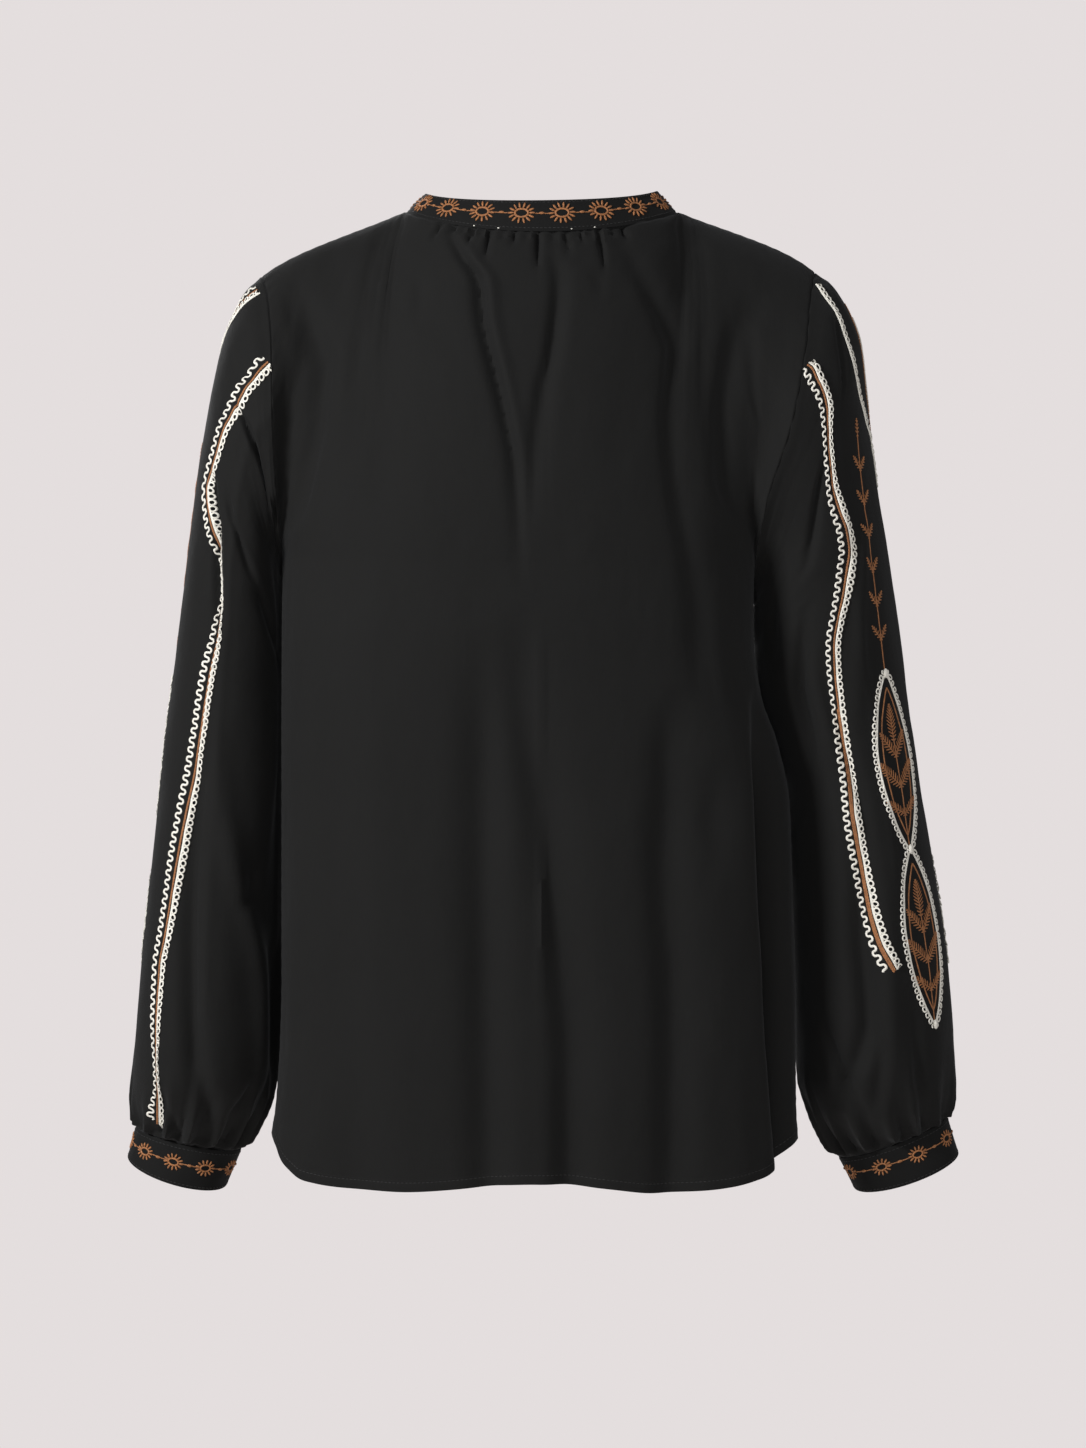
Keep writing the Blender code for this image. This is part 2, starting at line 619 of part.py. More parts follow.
def build_panel(name, side, folds, gathers):
    """The back or the front, from hem to neck and shoulder seams."""

    def surface(t, v):
        return body(t, v, side)

    us = np.linspace(-0.999, 0.999, 260)
    vs = np.linspace(0, 2, 260)
    lines = lines_of(surface, folds, us, vs) + gather_lines(gathers)
    columns = panel_columns(gathers, side)
    rows = np.array([*np.linspace(0, 1, LOW_ROWS + 1), *HIGH_ROWS])
    without = ()
    t = np.tile(columns, (rows.size, 1))
    if side < 0:
        near = np.argsort(np.abs(columns))[:2]
        left, right = int(near.max()), int(near.min())
        foot = int(np.argmin(np.abs(rows - SLIT_FOOT)))
        share = np.clip((rows - rows[foot]) / (2 - rows[foot]), SLIT_FOOT_SHARE, 1)
        t[:, (left, right)] *= share[:, None]
        without = {(r, right) for r in range(foot, rows.size - 1)}
    v = np.tile(rows[:, None], (1, columns.size))
    inner_t = np.clip(t, -0.998, 0.998)
    inner_v = np.clip(v, 0.002, 1.998)
    points, normal = pushed(surface, inner_t, inner_v, 0.001, 0.001, lines, -side)
    points += surface(t, v) - surface(inner_t, inner_v)
    inward = grid_inward(points, -side)
    inward[-1] = -normal[-1]
    on_shoulder = np.abs(columns) > NECK_SHARE - 1e-6
    inward[-1, on_shoulder] = shoulder_inward(columns[on_shoulder])
    for arm, at in (("left", -1), ("right", 0)):
        inward[rows <= 1, at] = (-1 if arm == "left" else 1, 0, 0)
        high = rows >= 1
        angle = 180 * (2 - rows[high]) * side
        inward[high, at] = armhole_inward(angle % 360, arm)
    return cloth(name, walled_mesh(name, points, inward, CLOTH_WALL, without=without))


def shoulder_inward(t):
    """The way in at the shoulder seams, the same for the front and the back."""
    nearer = np.sign(t) * NECK_SHARE * 1.02
    further = np.sign(t) * 1.0
    along = top_edge(further, 1)[0] - top_edge(nearer, 1)[0]
    along[..., 1] = 0
    way = np.cross(along, np.array((0.0, 1.0, 0.0)))
    return unit(way * -np.sign(way[..., 2:3]))


def armhole_inward(angle, arm):
    """The way in at the armhole seam, square to the gap between body and sleeve."""
    along = armhole(angle + 2, arm) - armhole(angle - 2, arm)
    along[..., 0] = 0
    way = np.cross(along, np.array((1.0, 0.0, 0.0)))
    return unit(way)


def wrist_phase(angle):
    """Where the wrist gathers' waves stand, uneven round the wrist, in turns."""
    turn = np.radians(angle)
    return WRIST_GATHERS * angle / 360 + 0.16 * np.sin(2 * turn + 0.6) + 0.1 * np.sin(5 * turn)


def wrist_waves(angle, along):
    """How far in the gathers above the cuff take each point."""
    from_seam = np.clip((1 - along) / WRIST_REACH, 0, 1)
    grown = ease(from_seam / WRIST_START)
    return WRIST_DEPTH * grown * (1 - ease(from_seam)) * -np.cos(2 * math.pi * wrist_phase(angle))


def ring_inward(angle, along, rows):
    """The way to the middle of a tube's ring, in the ring's own plane."""
    middle = (ring(angle, along, rows) + ring(angle + 180, along, rows)) / 2
    tangent = ring(angle + 1, along, rows) - ring(angle - 1, along, rows)
    way = middle - ring(angle, along, rows)
    tangent = unit(tangent)
    return unit(way - (way * tangent).sum(-1, keepdims=True) * tangent)


def armhole_angles():
    """The angles where the panels' rows meet the armhole seam, so that both share corners."""
    back = [180 * (2 - v) for v in reversed(HIGH_ROWS)]
    front = [360 - angle for angle in reversed(back[1:])]
    return np.array([*back, 180.0, *front])


def build_sleeve(name, arm, folds):
    """A full sleeve, set into the armhole and gathered into its cuff."""

    def surface(angle, along):
        return sleeve(angle, along, arm)

    us = np.linspace(2, 178, 200)
    vs = np.linspace(0.01, 0.99, 260)
    lines = lines_of(surface, folds, us, vs) + list(SLEEVE_HIDDEN_FOLDS)
    if arm == "left":
        lines = [(right, left, path) for left, right, path in lines]
    seam = armhole_angles()
    fine = np.linspace(-20, 380, 4001)
    waves = np.arange(0, 2 * WRIST_GATHERS) / 2
    wrist = np.interp(waves, wrist_phase(fine), fine)
    along = np.array(SLEEVE_ROWS)[:, None]
    angle = seam + (wrist - seam) * ease(along / COLUMNS_EVEN_BY)
    along = along + 0 * angle
    inside = np.clip(along, 0.002, 0.998)
    outward = -1 if arm == "left" else 1
    waves_in = wrist_waves(angle, along)
    points, _ = pushed(surface, angle, inside, 0.2, 0.002, lines, outward, waves_in)
    points += surface(angle, along) - surface(angle, inside)
    rows = SLEEVE_LEFT if arm == "left" else SLEEVE_RIGHT
    inward = grid_inward(points, outward, closed=True)
    inward[0] = armhole_inward(angle[0] % 360, arm)
    inward[-1] = ring_inward(angle[-1], along[-1], rows)
    return cloth(name, walled_mesh(name, points, inward, CLOTH_WALL, closed=True))


def build_cuff(name, rows):
    """A closed band round the wrist."""
    angle, along = np.meshgrid(np.arange(0, 360, 10.0), np.array((0, 0.5, 1)))
    points = ring(angle, along, rows)
    inward = ring_inward(angle, along, rows)
    return cloth(name, walled_mesh(name, points, inward, BAND_WALL, closed=True))


def collar_point(turn, height):
    """The collar band, height 0 at the neck seam and 1 at its free edge."""
    side = np.sin(turn) ** 2
    base = neck_point(turn)
    rise = COLLAR_RISE_MIDDLE + (COLLAR_RISE_SIDE - COLLAR_RISE_MIDDLE) * side
    lean = COLLAR_LEAN_MIDDLE + (COLLAR_LEAN_SIDE - COLLAR_LEAN_MIDDLE) * side
    top = base + stack(-lean * np.sin(turn), -lean * np.cos(turn), rise)
    top[..., 2] -= COLLAR_TILT * top[..., 0]
    edge = top - base
    length = np.linalg.norm(edge, axis=-1, keepdims=True)
    clear = COLLAR_GAPS * SEAM_GAP / length
    share = clear + (1 - clear) * np.asarray(height, float)[..., None]
    return base + edge * share


def build_collar(name):
    """The stand collar, open at the front slit."""
    back = panel_columns(BACK_GATHERS, 1) / NECK_SHARE
    front = panel_columns(FRONT_GATHERS, -1) / NECK_SHARE
    back = back[np.abs(back) <= 1.001] * math.pi / 2
    front = front[np.abs(front) < 0.999]
    front = np.sort(np.sign(front) * (math.pi - np.abs(front) * math.pi / 2))
    half = front.size // 2
    turns = np.array([*front[:half], *back, *front[half:]])
    turn, height = np.meshgrid(turns, np.array((0, 0.5, 1)))
    points = collar_point(turn, height)
    inward = grid_inward(points, -1)
    return cloth(name, walled_mesh(name, points, inward, BAND_WALL))


def main():
    for item in list(bpy.data.objects):
        bpy.data.objects.remove(item, do_unlink=True)
    build_panel("back_panel", 1, BACK_FOLDS, BACK_GATHERS)
    build_panel("front_panel", -1, FRONT_FOLDS, FRONT_GATHERS)
    build_sleeve("sleeve_left", "left", SLEEVE_LEFT_FOLDS)
    build_sleeve("sleeve_right", "right", SLEEVE_RIGHT_FOLDS)
    build_cuff("cuff_left", CUFF_LEFT)
    build_cuff("cuff_right", CUFF_RIGHT)
    build_collar("collar_band")


main()
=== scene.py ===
"""Looks of a black cotton blouse: thin folded cloth, seams, cords and embroidery on its solids.

Shapes are worked out in millimetres, with +Z up, +Y the back and +X the wearer's left.
"""

import math

import bpy
import numpy as np
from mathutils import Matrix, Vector

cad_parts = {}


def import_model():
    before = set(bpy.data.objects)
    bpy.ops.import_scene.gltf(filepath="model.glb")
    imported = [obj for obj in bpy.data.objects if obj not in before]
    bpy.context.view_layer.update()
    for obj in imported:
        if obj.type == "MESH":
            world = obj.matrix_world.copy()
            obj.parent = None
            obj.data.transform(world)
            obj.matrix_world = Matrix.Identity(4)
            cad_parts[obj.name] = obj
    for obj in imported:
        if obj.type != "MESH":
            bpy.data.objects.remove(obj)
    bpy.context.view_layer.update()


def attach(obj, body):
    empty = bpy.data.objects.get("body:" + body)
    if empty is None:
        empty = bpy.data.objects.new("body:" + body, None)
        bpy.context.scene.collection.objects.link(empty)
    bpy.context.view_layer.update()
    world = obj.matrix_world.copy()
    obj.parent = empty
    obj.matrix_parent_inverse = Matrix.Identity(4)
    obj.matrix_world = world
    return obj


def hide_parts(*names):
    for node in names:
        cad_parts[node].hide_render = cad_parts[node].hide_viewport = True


MM = 0.001
SEAM_GAP = 0.12
CLOTH_THICK = 0.6
BAND_THICK = 1.6
COLLAR_HEIGHT = 23
CUFF_HEIGHT = 27
HEM_TO_UNDERARM = 425

# The camera stands this far behind the garment, and what it sees is placed from there.
EYE_DISTANCE = 3000.0
EYE_HEIGHT = -358.0

BODY_COLUMNS = ("z", "left", "right", "widest", "back", "front")
BODY = (
    (-690, 188, 178, 24, 100, -112),
    (-645, 187, 177.5, 25, 102, -113),
    (-620, 184, 176.5, 26, 104, -114),
    (-575, 181, 176, 28, 106, -116),
    (-534, 180, 175.5, 29, 107, -117),
    (-488, 180, 174, 30, 109, -118),
    (-446, 180, 173, 30, 110, -119),
    (-411, 180, 171.5, 30, 110, -120),
    (-372, 180, 163.5, 30, 111, -120),
    (-340, 180, 152.5, 29, 111, -120),
    (-300, 180, 147, 26, 111, -118),
    (-258, 180, 147.5, 19, 109, -114),
    (-240, 180, 148.5, 15, 108, -112),
)
BACK_SQUARE = 2.35
FRONT_SQUARE = 2.1

HEM_COLUMNS = ("share", "back", "front")
HEM = (
    (-1.00, -645, -645),
    (-0.93, -659, -657),
    (-0.82, -669, -666),
    (-0.62, -675, -672),
    (-0.40, -677, -674),
    (-0.18, -673, -674),
    (0.02, -670, -674),
    (0.20, -673, -674),
    (0.45, -676, -674),
    (0.66, -675, -672),
    (0.84, -671, -668),
    (0.94, -660, -658),
    (1.00, -641, -641),
)
UNDERARM_Z = {"left": -243.0, "right": -258.0}

NECK_HALF_WIDTH = 95.0
NECK_Y = -5.0
NECK_BACK_REACH = 67.0
NECK_FRONT_REACH = 80.0
NECK_BACK_DROP = 20.5
NECK_FRONT_DROP = 78.0
NECK_DROP_POWER = 1.5
NECK_SHARE = 0.45
NECK_ARRIVAL = {1: (0.38, 0.64), -1: (0.3, 0.75)}
NECK_SIDE_LEAN = 62.0
NECK_SIDE_CLIMB = 24.0
ROLL_START = 0.7
ROLL_SPAN = 0.6
ROLL_FLATNESS = 1.45
ROLL_PLUMP = 0.45
SHOULDER_LEFT = (196.0, 38.0, 7.0)
SHOULDER_RIGHT = (191.5, 34.0, 8.0)
HOOK_POWER = 6

ARMHOLE_COLUMNS = ("angle", "left_x", "left_y", "left_z", "right_x", "right_y", "right_z")
ARMHOLE = (
    (0, 196, -5, -45, -191.5, -5, -42),
    (30, 190.5, 25, -62, -187, 25, -60),
    (60, 186, 50, -99, -182, 50, -99),
    (90, 184.5, 64, -148, -171.5, 65, -152),
    (120, 182.5, 58, -198, -154, 62, -208),
    (150, 180.5, 38, -232, -147.5, 42, -245),
    (180, 180, 15, -243, -147.5, 19, -258),
    (210, 179.5, -14, -236, -152, -14, -250),
    (240, 178, -38, -206, -164, -40, -215),
    (270, 177.5, -52, -158, -170, -54, -165),
    (300, 180, -50, -105, -177, -50, -108),
    (330, 188, -32, -63, -185, -32, -62),
)

SLEEVE_COLUMNS = ("outer_x", "outer_z", "inner_x", "inner_z", "y", "half_depth", "tilt")
SLEEVE_LEFT = (
    (196, -45, 180.4, -243, 6, 58, 0),
    (206, -55, 181.2, -247, 4, 59, 0),
    (216, -76, 181.5, -251, 2, 60, 0),
    (225, -100, 181.5, -256, 0, 61, 0),
    (232.5, -134, 181.5, -262, -2, 62, 0),
    (239, -172, 181.2, -270, -5, 62, 0),
    (244, -208, 180.8, -280, -8, 62, 0),
    (249.5, -248, 180.4, -294, -10, 62, 0),
    (254.5, -288, 180, -316, -12, 61, 0),
    (259.5, -330, 180, -346, -13, 61, 0),
    (265, -374, 180, -382, -14, 60, 0),
    (270, -420, 180, -424, -15, 60, 0),
    (275, -464, 180.5, -466, -16, 60, 0),
    (280.5, -516, 181, -516, -17, 60, 0),
    (285, -566, 182.5, -564, -18, 60, 0.02),
    (287.5, -598, 184, -597, -19, 57, 0.05),
    (288, -618, 190, -623, -20, 48, 0.08),
    (286.5, -632, 201, -643, -21, 38, 0.1),
    (285.5, -641, 211, -657, -22, 29, 0.12),
)
SLEEVE_RIGHT = (
    (-192, -42, -148, -258, 6, 58, 0),
    (-203, -50, -148.4, -263, 4, 59, 0),
    (-214.5, -68, -148.6, -268, 2, 60, 0),
    (-223.5, -92, -148.6, -273, 0, 61, 0),
    (-227.5, -125, -148.5, -280, -2, 62, 0),
    (-231, -160, -148.3, -288, -3, 62, 0),
    (-236, -195, -148.2, -297, -4, 62, 0),
    (-241.5, -230, -148.4, -308, -5, 62, 0),
    (-247, -270, -150, -325, -5, 61, 0),
    (-252, -306, -154, -348, -5, 60, 0),
    (-257.5, -348, -163, -376, -5, 60, 0),
    (-264, -390, -171.5, -408, -6, 60, 0),
    (-271, -432, -173.5, -444, -7, 60, 0),
    (-279, -480, -175, -488, -8, 60, 0),
    (-285.5, -530, -177.5, -534, -9, 60, 0),
    (-288.5, -572, -178.5, -574, -10, 60, 0.02),
    (-289.5, -598, -179, -603, -11, 57, 0.05),
    (-288.5, -617, -187, -629, -12, 48, 0.08),
    (-287, -627, -197.5, -648, -13, 38, 0.1),
    (-285, -633, -208.5, -662, -14, 29, 0.12),
)
SLEEVE_BLEND = 0.28
EDGE_POWER = 5
ARMHOLE_GAPS = 1.4
COLLAR_GAPS = 1.2

CUFF_LEFT = (
    (285.8, -641.5, 211.3, -657.5, -22, 29, 0.12),
    (292, -663, 222, -683, -23, 28, 0.28),
)
CUFF_RIGHT = (
    (-285.3, -633.5, -208.8, -662.5, -14, 29, 0.12),
    (-293.5, -660, -220, -684.5, -15, 28, 0.25),
)

COLLAR_RISE_MIDDLE = 22.5
COLLAR_RISE_SIDE = 14.6
COLLAR_LEAN_MIDDLE = 8.0
COLLAR_LEAN_SIDE = 14.0
COLLAR_TILT = 0.012

SLIT_HALF_WIDTH = 5.0
SLIT_FOOT = 1.36
SLIT_FOOT_SHARE = 0.1

# Folds: half widths to the wearer's left and right of the line, and a path of seen x,
# seen z and depth. A positive depth is a trough and a negative one a ridge.
BACK_FOLDS = (
    (11, 9, ((-105, -24, -0.6), (-107, -34, -1.8), (-108, -50, -2), (-108, -80, -1.5), (-108, -110, 0))),
    (13, 9, ((108, -24, -0.6), (111, -34, -1.8), (112, -50, -2), (116, -80, -1.4), (120, -112, 0))),
    (6, 3.5, ((63, -15, 1.5), (55, -31, 4), (44, -48, 5.5), (41, -76, 5.5), (32, -112, 5.5),
            (24, -146, 5), (18, -182, 4.5), (14, -272, 0))),
    (4, 5, ((55, -15, 0), (47, -31, -2), (36, -48, -3), (33, -76, -2.5), (25, -112, -2),
            (18, -146, -1.5), (12, -182, 0))),
    (4, 7, ((-8, -28, 1), (-11, -48, 4), (-8, -84, 5), (0, -126, 4.5), (5, -171, 3), (8, -230, 0))),
    (9, 9, ((-57.8, -22, 2), (-73, -48, 4), (-87, -76, 5), (-93, -98, 5), (-90, -132, 4.5),
            (-94, -188, 4), (-104, -244, 3.5), (-109, -296, 3), (-114.5, -349, 0))),
    (7, 8, ((84, -42, 0), (86, -60, 1.6), (88, -84, 0))),
    (5, 5, ((-37, -38, 0), (-40, -48, 1.6), (-42, -62, 0))),
    (12, 9, ((178, -46, 0), (168, -66, 3), (160, -84, 4.5), (153, -112, 5.5), (157, -146, 5.5),
             (165, -193, 4.5), (171, -224, 0))),
    (10, 9, ((-157, -58, 0), (-139, -84, 4), (-132, -109, 5), (-128, -148, 5.5),
             (-128, -188, 5), (-135, -216, 0))),
    (6, 6, ((-150, -80, 0), (-147, -98, 2), (-149, -130, 1.5), (-152, -150, 0))),
    (5, 5, ((180, -56, 0), (176, -70, 1.2), (174, -84, 0))),
    (14, 14, ((42, -290, 0), (42, -350, 5), (42, -430, 7), (40, -540, 8), (38, -684, 8))),
    (12, 16, ((15, -272, 0), (14, -330, 4), (-2, -420, 7), (-8, -470, 8), (-13, -517, 8),
              (-20, -594, 8), (-20, -680, 9))),
    (14, 16, ((-95, -331, 0), (-90, -384, 6), (-88, -454, 8), (-93, -559, 8), (-93, -684, 8))),
    (14, 14, ((-121, -380, 0), (-121, -419, 3), (-122, -470, 0))),
    (7, 14, ((-149, -332, 0), (-153, -370, 7), (-157, -410, 15), (-159, -450, 19),
             (-162, -507, 20), (-164, -554, 20), (-167, -610, 18), (-170, -665, 12))),
    (24, 24, ((150, -330, 0), (148, -420, 3), (140, -560, 4), (132, -684, 5))),
)
FRONT_FOLDS = (
    (9, 9, ((-40, -80, 3), (-46, -120, 4), (-50, -180, 3.5), (-46, -260, 0))),
    (9, 9, ((38, -80, 3), (48, -125, 4), (56, -190, 4), (58, -280, 0))),
    (10, 12, ((160, -84, 0), (142, -115, 4), (134, -160, 5), (138, -215, 0))),
    (12, 10, ((-158, -84, 0), (-142, -112, 4), (-134, -155, 5), (-138, -210, 0))),
    (22, 20, ((-60, -300, 0), (-66, -400, 6), (-72, -520, 8), (-70, -674, 9))),
    (20, 22, ((14, -330, 0), (16, -430, 6), (22, -540, 7), (20, -674, 8))),
    (22, 22, ((92, -290, 0), (98, -400, 6), (104, -520, 8), (102, -674, 8))),
    (16, 16, ((-128, -350, 0), (-130, -440, 4), (-134, -560, 6), (-132, -670, 6))),
)

# Gathers into the collar: where each meets the seam, its length and its depth.
BACK_GATHERS = (
    (69, 26, 3.2), (60, 14, 2.7), (53, 9, 2.2), (47, 22, 4.6), (41, 12, 2.4), (35, 30, 5.0),
    (26, 10, 2.4), (18.6, 16, 4.0), (10, 12, 2.2), (2.5, 34, 5.4), (-8, 12, 2.4),
    (-17, 24, 4.3), (-22, 9, 2.2), (-27, 15, 3.2), (-33, 12, 2.4), (-39, 40, 5.4),
    (-48, 10, 2.2), (-56, 18, 4.0),
)
FRONT_GATHERS = (
    (62, 20, 1.4), (56, 10, 0.8), (50, 34, 2.0), (44, 12, 0.9), (38, 18, 1.8), (27, 40, 2.2),
    (20, 12, 0.9), (14, 22, 1.6), (-15, 26, 1.8), (-20, 12, 0.9), (-26, 36, 2.2),
    (-33, 12, 0.9), (-40, 18, 1.6), (-46, 10, 0.8), (-52, 30, 2.0), (-64, 16, 1.4),
)
GATHER_HALF_WIDTH = 1.9
GATHER_SPAN = 190.0

SLEEVE_LEFT_FOLDS = (
    (26, 9, ((191, -235, 0), (190, -270, -3.5), (190, -320, -5.5), (191, -380, -5.5), (194, -430, -4),
             (197, -480, 0))),
    (7, 9, ((216, -130, 0), (206, -152, 4), (196, -178, 6), (188, -212, 5), (184, -240, 0))),
    (8, 7, ((221, -185, 0), (217, -213, 3), (209, -236, 3), (201, -262, 0))),
    (4, 5, ((229, -180, 0), (230, -198, 4.5), (228, -215, 6), (227.5, -250, 6), (226, -275, 4),
            (226, -300, 0))),
    (5, 5, ((198, -262, 0), (195, -279, 3), (190, -300, 3.5), (185, -322, 0))),
    (8, 9, ((228, -345, 0), (225.5, -402, -3), (218, -449, -4), (209, -484, -4.5),
            (202, -508, -5), (197, -543, -5), (196, -588, -4), (200, -625, 0))),
    (9, 6, ((240, -370, 0), (240, -402, 3.5), (244, -449, 6), (246, -496, 8), (244.7, -566, 9),
            (239, -612, 6), (235, -640, 0))),
    (4, 5, ((197, -598, 0), (205, -618, 3), (217, -634, 3.5), (223, -648, 2.5))),
    (3.5, 4, ((227, -612, 0), (232, -629, 2.5), (237, -640, 3), (240, -650, 2.5))),
    (3.5, 3.5, ((265, -614, 0), (261, -630, 2.5), (257, -645, 2.5))),
    (6, 6, ((205, -455, 0), (203, -468, 2.5), (206, -480, 2.5), (209, -492, 0))),
    (10, 10, ((192, -500, 0), (186, -530, 5), (186, -585, 5), (190, -620, 0))),
)
SLEEVE_RIGHT_FOLDS = (
    (5, 4, ((-205, -72, 0), (-208, -86, 2.5), (-212, -115, 3), (-211, -138, 0))),
    (7, 7, ((-226, -210, 0), (-225, -237, -2.5), (-223, -284, -3), (-221.6, -342, -2),
            (-222, -370, 0))),
    (8, 8, ((-199, -165, 0), (-195, -190, 3.5), (-190, -225, 4), (-186, -255, 0))),
    (5, 7, ((-184, -275, 0), (-181, -307, 5), (-180, -342, 7), (-186, -365, 5), (-190, -392, 0))),
    (8, 8, ((-163, -262, 0), (-161, -290, 3), (-164, -325, 0))),
    (8, 9, ((-222, -425, 0), (-223, -472, 6), (-224, -519, 8), (-228, -560, 8), (-222, -590, 7),
            (-214, -606, 5), (-208, -630, 0))),
    (5, 5, ((-196, -300, 0), (-200, -330, 4), (-208, -362, 6), (-218, -396, 6), (-227, -430, 3),
            (-232, -460, 0))),
    (6, 5, ((-236, -560, 0), (-238, -590, 5), (-236, -615, 4), (-234, -632, 0))),
    (5, 5, ((-196, -560, 0), (-204, -590, 5), (-214, -614, 4), (-222, -634, 0))),
    (6, 6, ((-256, -535, 0), (-260, -566, 3), (-264, -600, 3.5), (-265, -622, 0))),
    (9, 9, ((-240, -440, 0), (-243, -490, -3), (-243, -560, -3.5), (-240, -610, 0))),
)
SLEEVE_HIDDEN_FOLDS = (
    (13, 13, ((180, 0.002, -2), (180, 0.02, -4), (180, 0.06, -5), (180, 0.11, -4.5), (180, 0.17, 0))),
    (8, 8, ((236, 0.16, 0), (232, 0.26, 5), (226, 0.36, 0))),
    (9, 9, ((262, 0.2, 0), (268, 0.32, 5), (262, 0.44, 0))),
    (10, 10, ((300, 0.5, 0), (296, 0.64, 5), (300, 0.8, 6), (306, 0.95, 0))),
    (10, 10, ((250, 0.52, 0), (246, 0.66, 5), (240, 0.82, 5), (236, 0.95, 0))),
)
WRIST_GATHERS = 16
WRIST_DEPTH = 3.4
WRIST_REACH = 0.19
WRIST_START = 0.13
COLUMNS_EVEN_BY = 0.8
SLEEVE_LENGTH = 610.0

# Soft crumples: cells across and along, depth in millimetres.
PANEL_CRUMPLES = ((13, 7, 0.9), (29, 17, 0.35), (67, 47, 0.12))
SLEEVE_CRUMPLES = ((7, 9, 0.9), (17, 25, 0.35), (37, 71, 0.12))
SEAM_DIP = 0.55
SEAM_DIP_WIDTH = 1.1
PUCKER_DEPTH = 0.28
PUCKER_LENGTH = 10.5
PUCKER_REACH = 6.0
HEM_WIDTH = 7.2
HEM_STEP = 0.35
HEM_GROOVE = 0.3

# Paths of the sewn-on bands as they show: seen x and seen z, from the armhole down.
RIGHT_BACK_BAND = (
    (-184.0, -105.7), (-188.4, -108.6), (-192.6, -116.8), (-197.0, -126.4), (-199.8, -137.0),
    (-200.5, -149.1), (-201.2, -161.9), (-203.0, -180.6), (-204.3, -192.1), (-208.7, -209.6),
    (-213.1, -223.3), (-215.0, -234.5), (-213.7, -249.6), (-211.2, -267.1), (-207.5, -284.6),
    (-205.0, -299.6), (-205.0, -315.8), (-206.6, -334.9), (-210.1, -362.5), (-214.7, -392.8),
    (-217.7, -418.6), (-221.5, -443.0), (-226.0, -467.2), (-231.3, -493.0), (-237.4, -512.8),
    (-245.0, -527.9), (-248.5, -533.4),
)
LEFT_BACK_BAND = (
    (188.9, -103.1), (201.4, -116.5), (207.7, -124.5), (211.3, -131.6), (216.6, -141.4),
    (222.0, -151.2), (226.1, -164.5), (229.5, -176.4), (232.0, -184.8), (233.8, -192.5),
    (233.6, -201.6), (232.4, -212.1), (230.3, -224.0), (227.8, -237.3), (225.7, -252.0),
    (224.7, -264.6), (224.6, -275.8), (225.5, -284.2), (226.3, -296.8), (228.9, -310.4),
    (231.8, -323.1), (233.9, -335.0), (235.7, -345.2), (237.8, -359.7), (240.7, -374.9),
    (243.9, -392.0), (249.8, -421.1), (256.6, -461.9), (262.5, -500.9), (267.6, -529.8),
    (269.8, -560.0), (270.0, -580.3), (269.5, -600.6), (268.8, -619.5), (269.8, -641.2),
)

# The bands on the sleeve fronts: share along the sleeve and degrees round.
RIGHT_FRONT_BAND = (
    (0.006, 18.4), (0.053, 26.7), (0.091, 30.8), (0.132, 36), (0.16, 36.5), (0.19, 33), (0.22, 27),
    (0.25, 18), (0.29, 2), (0.34, -14), (0.4, -24), (0.47, -27), (0.55, -22), (0.63, -12),
    (0.69, -3), (0.735, 6),
)
LEFT_FRONT_BAND = (
    (0.012, 22.7), (0.053, 21.6), (0.084, 17), (0.123, 8), (0.1625, -4), (0.2, -16), (0.235, -27),
    (0.275, -38), (0.32, -48), (0.4, -58), (0.5, -66), (0.6, -70), (0.7, -72), (0.8, -68), (0.95, -60),
)


def column(table, names, name):
    """One named column of a table."""
    at = names.index(name)
    return np.array([row[at] for row in table], float)


def smooth(xs, ys, x):
    """A curve through a table's rows that never swings past them."""
    xs = np.asarray(xs, float)
    ys = np.asarray(ys, float)
    x = np.clip(x, xs[0], xs[-1])
    step = np.diff(xs)
    slope = np.diff(ys) / step
    product = slope[:-1] * slope[1:]
    total = np.where(product > 0, slope[:-1] + slope[1:], 1.0)
    inner = np.where(product > 0, 2 * product / total, 0.0)
    tangent = np.concatenate([slope[:1], inner, slope[-1:]])
    i = np.clip(np.searchsorted(xs, x) - 1, 0, len(xs) - 2)
    s = (x - xs[i]) / step[i]
    low = (1 + 2 * s) * (1 - s) ** 2 * ys[i] + s * (1 - s) ** 2 * step[i] * tangent[i]
    high = s * s * (3 - 2 * s) * ys[i + 1] + s * s * (s - 1) * step[i] * tangent[i + 1]
    return low + high


def stack(x, y, z):
    """Points from three arrays of any shapes that fit each other."""
    return np.stack(np.broadcast_arrays(x, y, z), axis=-1)


def unit(vectors):
    """Vectors scaled to a length of one."""
    return vectors / np.maximum(np.linalg.norm(vectors, axis=-1, keepdims=True), 1e-12)


def ease(x):
    """0 to 1 with level ends."""
    x = np.clip(x, 0, 1)
    return x * x * (3 - 2 * x)


def neck_point(turn):
    """The neck seam at a turn from the middle back, positive to the wearer's left."""
    at_back = np.abs(turn) <= math.pi / 2
    fore_aft = np.abs(np.cos(turn))
    x = NECK_HALF_WIDTH * np.sin(turn)
    reach = np.where(at_back, NECK_BACK_REACH, -NECK_FRONT_REACH)
    drop = np.where(at_back, NECK_BACK_DROP, NECK_FRONT_DROP)
    return stack(x, NECK_Y + reach * fore_aft, -drop * fore_aft**NECK_DROP_POWER)


